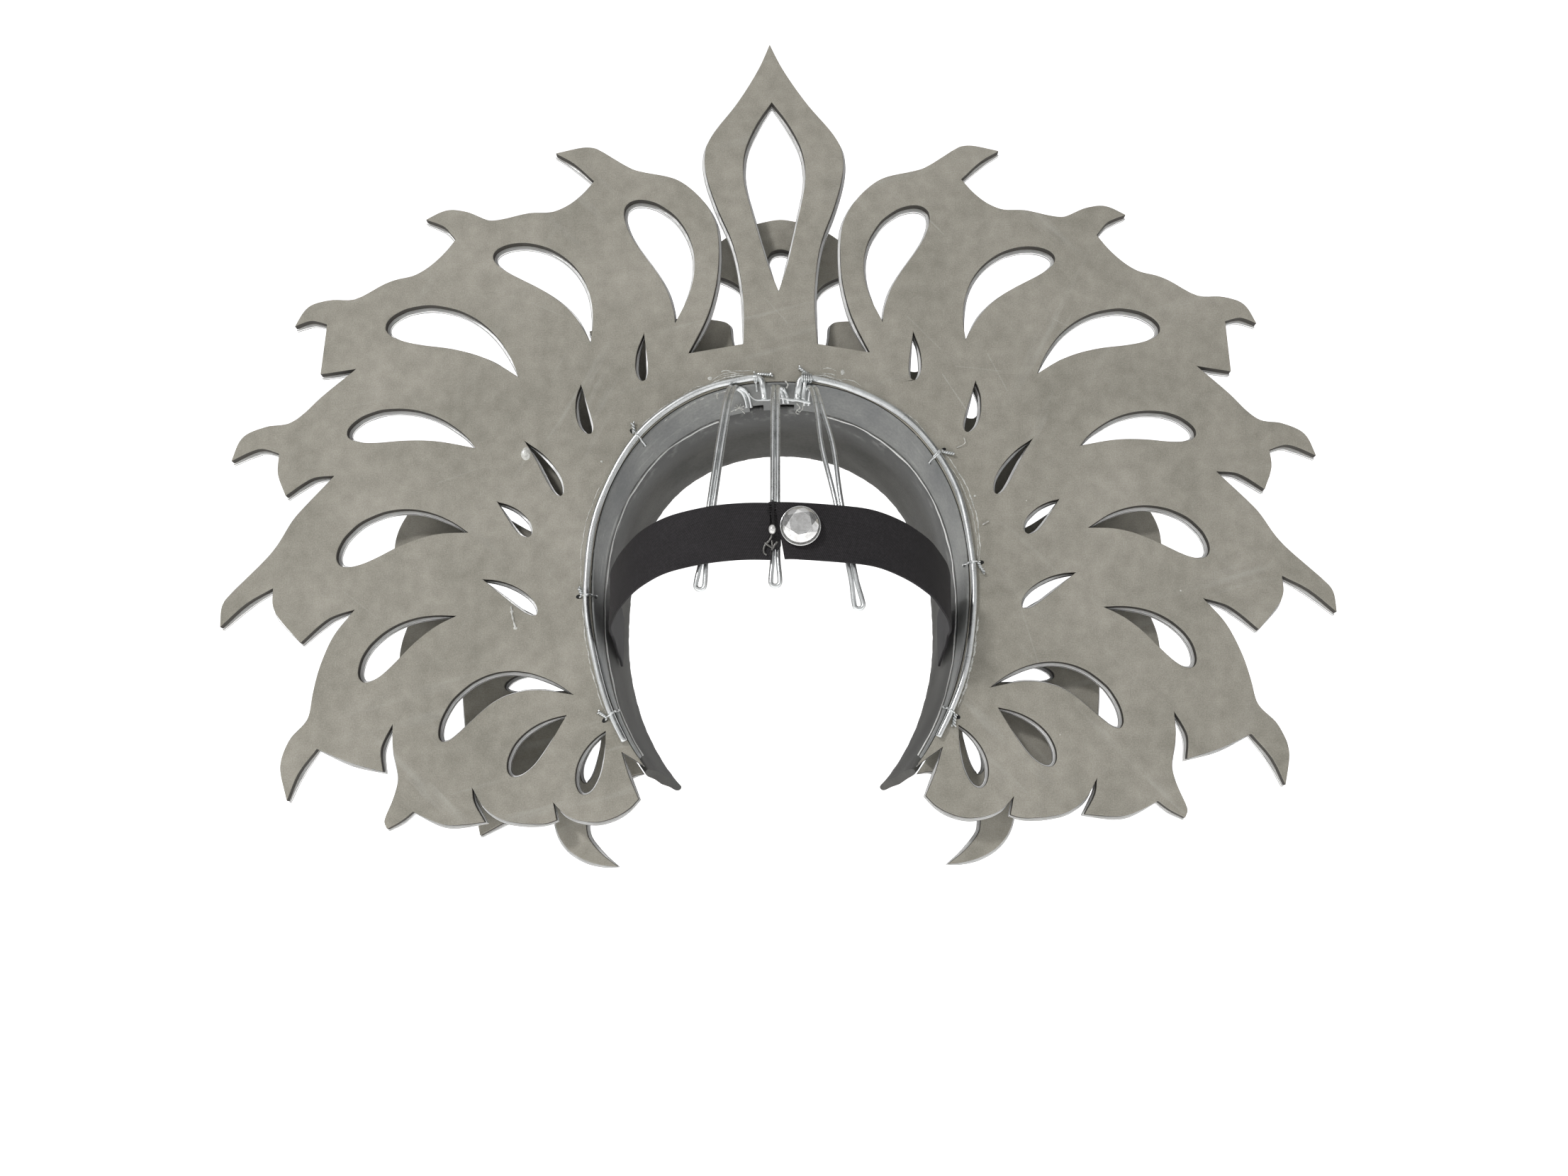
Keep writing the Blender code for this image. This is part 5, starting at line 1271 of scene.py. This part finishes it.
def ridge_grid(cell, seed):
    """A low bead along the hoop line: its distance outwards is a parabola through three values, its height
    and width wander, and it thins to nothing at both ends."""
    t = np.linspace(0.0, 1.0, 130)
    angle = cell["first"] + (cell["last"] - cell["first"]) * t
    pull = 2.0 * cell["middle"] - 0.5 * (cell["start"] + cell["end"])
    far = ((1 - t)**2 * cell["start"] + 2 * t * (1 - t) * pull + t**2 * cell["end"]) / 1000.0
    far = far + ripple(angle, seed, (9.0, 0.0002), (3.3, 0.0001), (1.1, 0.00004))
    lumps = 1.0 + ripple(angle, seed + 1, (6.1, 0.35), (2.3, 0.3), (0.9, 0.18))
    half = np.maximum(cell["half"] / 1000.0 * np.sin(math.pi * t) ** 0.3 * lumps, 0.00006)
    level = np.where(far < 0.0, -0.0006, 0.0001)
    turn = np.radians(cell["side"] * angle)
    radius = hoop_radius(angle) + far
    path = np.column_stack((radius * np.sin(turn), level, radius * np.cos(turn)))
    return tube(path, half, (0.0, 1.0, 0.0), 8, flat=0.75)


def drop_grid(cell):
    """A flattened drop: an oval rim that rises to its top as the sine of a quarter turn."""
    turn = np.radians(np.linspace(-25.0, 84.0, 9))[:, None]
    spin = np.linspace(0.0, 2.0 * math.pi, 24, endpoint=False)[None, :]
    wide = cell["wide"] * (1.0 + 0.08 * np.sin(3.0 * spin + cell["up"]))
    return np.stack((cell["aside"] + wide * np.cos(turn) * np.cos(spin),
                     cell["thick"] * np.sin(turn) + 0.0 * spin,
                     cell["up"] + cell["high"] * np.cos(turn) * np.sin(spin)), axis=-1) / 1000.0


def glue_finish():
    """Dried hot glue: cloudy, pale and glossy, with lumps and trapped grey dust."""
    glue = Finish("hot_glue", GLUE_TONE, 0.3, 0.0, Coat_Weight=0.3, Coat_Roughness=0.15)
    place = glue.place()
    cloud = glue.noise(place, 700.0, 3.0, 0.6)
    dust = glue.noise(place, 160.0, 3.0, 0.6)
    tone = cloud * 0.5 + dust * 0.5
    glue.feed("Base Color", glue.ramp(tone, (0.38, GLUE_DEEP), (0.5, GLUE_TONE), (0.64, GLUE_CLEAR)))
    glue.feed("Roughness", 0.22 + cloud * 0.25)
    glue.relief(cloud, 0.0003)
    return glue.material


hot_glue = glue_finish()
ridges = [ridge_grid(cell, 60 + 3 * number) for number, cell in enumerate(rows_of(RIDGE_COLUMNS, RIDGES))]
skin("glue_ridges", ridges, hot_glue, "grey_foam")
threads = []
for cell in rows_of(THREAD_COLUMNS, GLUE_THREADS):
    line = through(np.array(cell["points"]) / 1000.0, 7)
    swell = cell["half"] / 1000.0 * (1.0 + 0.35 * np.sin(np.arange(len(line)) * 1.1))
    threads.append(tube(line, swell, (0.35, 0.6, 0.7), 7))
skin("glue_threads", threads, hot_glue, "grey_foam")
skin("glue_drops", [drop_grid(cell) for cell in rows_of(DROP_COLUMNS, GLUE_DROPS)], hot_glue, "grey_foam")

# Floor, backdrop and lamps: a pale seamless sheet well below the crown, one lamp high on the camera's left
# whose shadows fall on the front tier, and broad soft light from everywhere else.
FLOOR_LEVEL = -0.62
FLOOR_FRONT = 1.8
SWEEP_START = -1.1
SWEEP_RADIUS = 1.0
BACKDROP_TOP = 3.2
BACKDROP_HALF_WIDTH = 5.0
BACKDROP_TONE = (0.93, 0.93, 0.925)
BACKDROP_GLOW = 0.62
GLOW_HALF_WIDTH = 1.7
GLOW_TOP = 1.75
GLOW_FADE = 0.5
KEY_PLACE = (0.98, 1.7, 0.9)
KEY_SIZE = 0.22
KEY_POWER = 17.0
FILL_PLACE = (0.3, 2.2, 2.4)
FILL_SIZE = 2.6
FILL_POWER = 10.0
FRONT_LAMP_PLACE = (-1.2, -2.0, 2.2)
FRONT_LAMP_SIZE = 1.2
FRONT_LAMP_POWER = 10.0
SKY_STOPS = ((0.4, 0.08), (0.46, 0.5), (0.56, 0.85), (0.66, 0.12), (0.88, 0.07), (1.0, 0.6))
SKY_STRENGTH = 1.0


def backdrop():
    """A flat floor that sweeps up through a quarter circle into a wall, as one curve carried sideways."""
    turn = np.linspace(0.0, 0.5 * math.pi, 24)
    wall = SWEEP_START - SWEEP_RADIUS
    depth = np.concatenate(([FLOOR_FRONT], SWEEP_START - SWEEP_RADIUS * np.sin(turn), [wall]))
    height = np.concatenate(([0.0], SWEEP_RADIUS * (1.0 - np.cos(turn)), [BACKDROP_TOP])) + FLOOR_LEVEL
    sides = (-BACKDROP_HALF_WIDTH, BACKDROP_HALF_WIDTH)
    rows = [np.column_stack((np.full(len(depth), x), depth, height)) for x in sides]
    count = len(depth)
    faces = [(i, i + 1, count + i + 1, count + i) for i in range(count - 1)]
    mesh = bpy.data.meshes.new("backdrop")
    mesh.from_pydata(np.vstack(rows).tolist(), [], faces)
    mesh.shade_smooth()
    sheet = Finish("backdrop_paper", BACKDROP_TONE, 0.9, Emission_Strength=BACKDROP_GLOW)
    place = sheet.place()
    x, y, z = (sheet.part_of(place, axis) for axis in "XYZ")
    beside = (GLOW_HALF_WIDTH + GLOW_FADE - abs(x)).smaller(GLOW_TOP + GLOW_FADE - z)
    on_floor = y > SWEEP_START - SWEEP_RADIUS * 0.5
    glow = (beside * (1.0 / GLOW_FADE)).larger(on_floor)
    sheet.feed("Emission Color", sheet.ramp(glow, (0.0, 0.06), (1.0, 1.0)))
    mesh.materials.append(sheet.material)
    linked("backdrop", mesh)


def lamp(name, place, size, power, aim=(0.0, 0.0, 0.05)):
    """A square soft lamp that faces a point."""
    data = bpy.data.lights.new(name, "AREA")
    data.size = size
    data.energy = power
    light = linked(name, data)
    light.location = place
    towards = np.array(aim) - np.array(place)
    across = math.hypot(towards[0], towards[1])
    turn = math.atan2(towards[1], towards[0]) - 0.5 * math.pi
    light.rotation_euler = (math.atan2(across, -towards[2]), 0.0, turn)


backdrop()
lamp("key_lamp", KEY_PLACE, KEY_SIZE, KEY_POWER)
lamp("fill_lamp", FILL_PLACE, FILL_SIZE, FILL_POWER)
lamp("front_lamp", FRONT_LAMP_PLACE, FRONT_LAMP_SIZE, FRONT_LAMP_POWER)
sky = bpy.data.worlds.new("sky")
sky.use_nodes = True
heaven = sky.node_tree
outward = heaven.nodes.new("ShaderNodeTexCoord")
parts = heaven.nodes.new("ShaderNodeSeparateXYZ")
level = heaven.nodes.new("ShaderNodeMath")
level.operation = "MULTIPLY_ADD"
level.inputs[1].default_value = 0.5
level.inputs[2].default_value = 0.5
bands = heaven.nodes.new("ShaderNodeValToRGB")
for spare in SKY_STOPS[2:]:
    bands.color_ramp.elements.new(0.5)
for element, (place, light) in zip(bands.color_ramp.elements, SKY_STOPS):
    element.position = place
    element.color = (light, light, light, 1.0)
heaven.links.new(outward.outputs["Generated"], parts.inputs[0])
heaven.links.new(parts.outputs["Z"], level.inputs[0])
heaven.links.new(level.outputs[0], bands.inputs[0])
heaven.links.new(bands.outputs[0], heaven.nodes["Background"].inputs["Color"])
heaven.nodes["Background"].inputs["Strength"].default_value = SKY_STRENGTH
bpy.context.scene.world = sky
bpy.context.scene.view_settings.view_transform = "Standard"
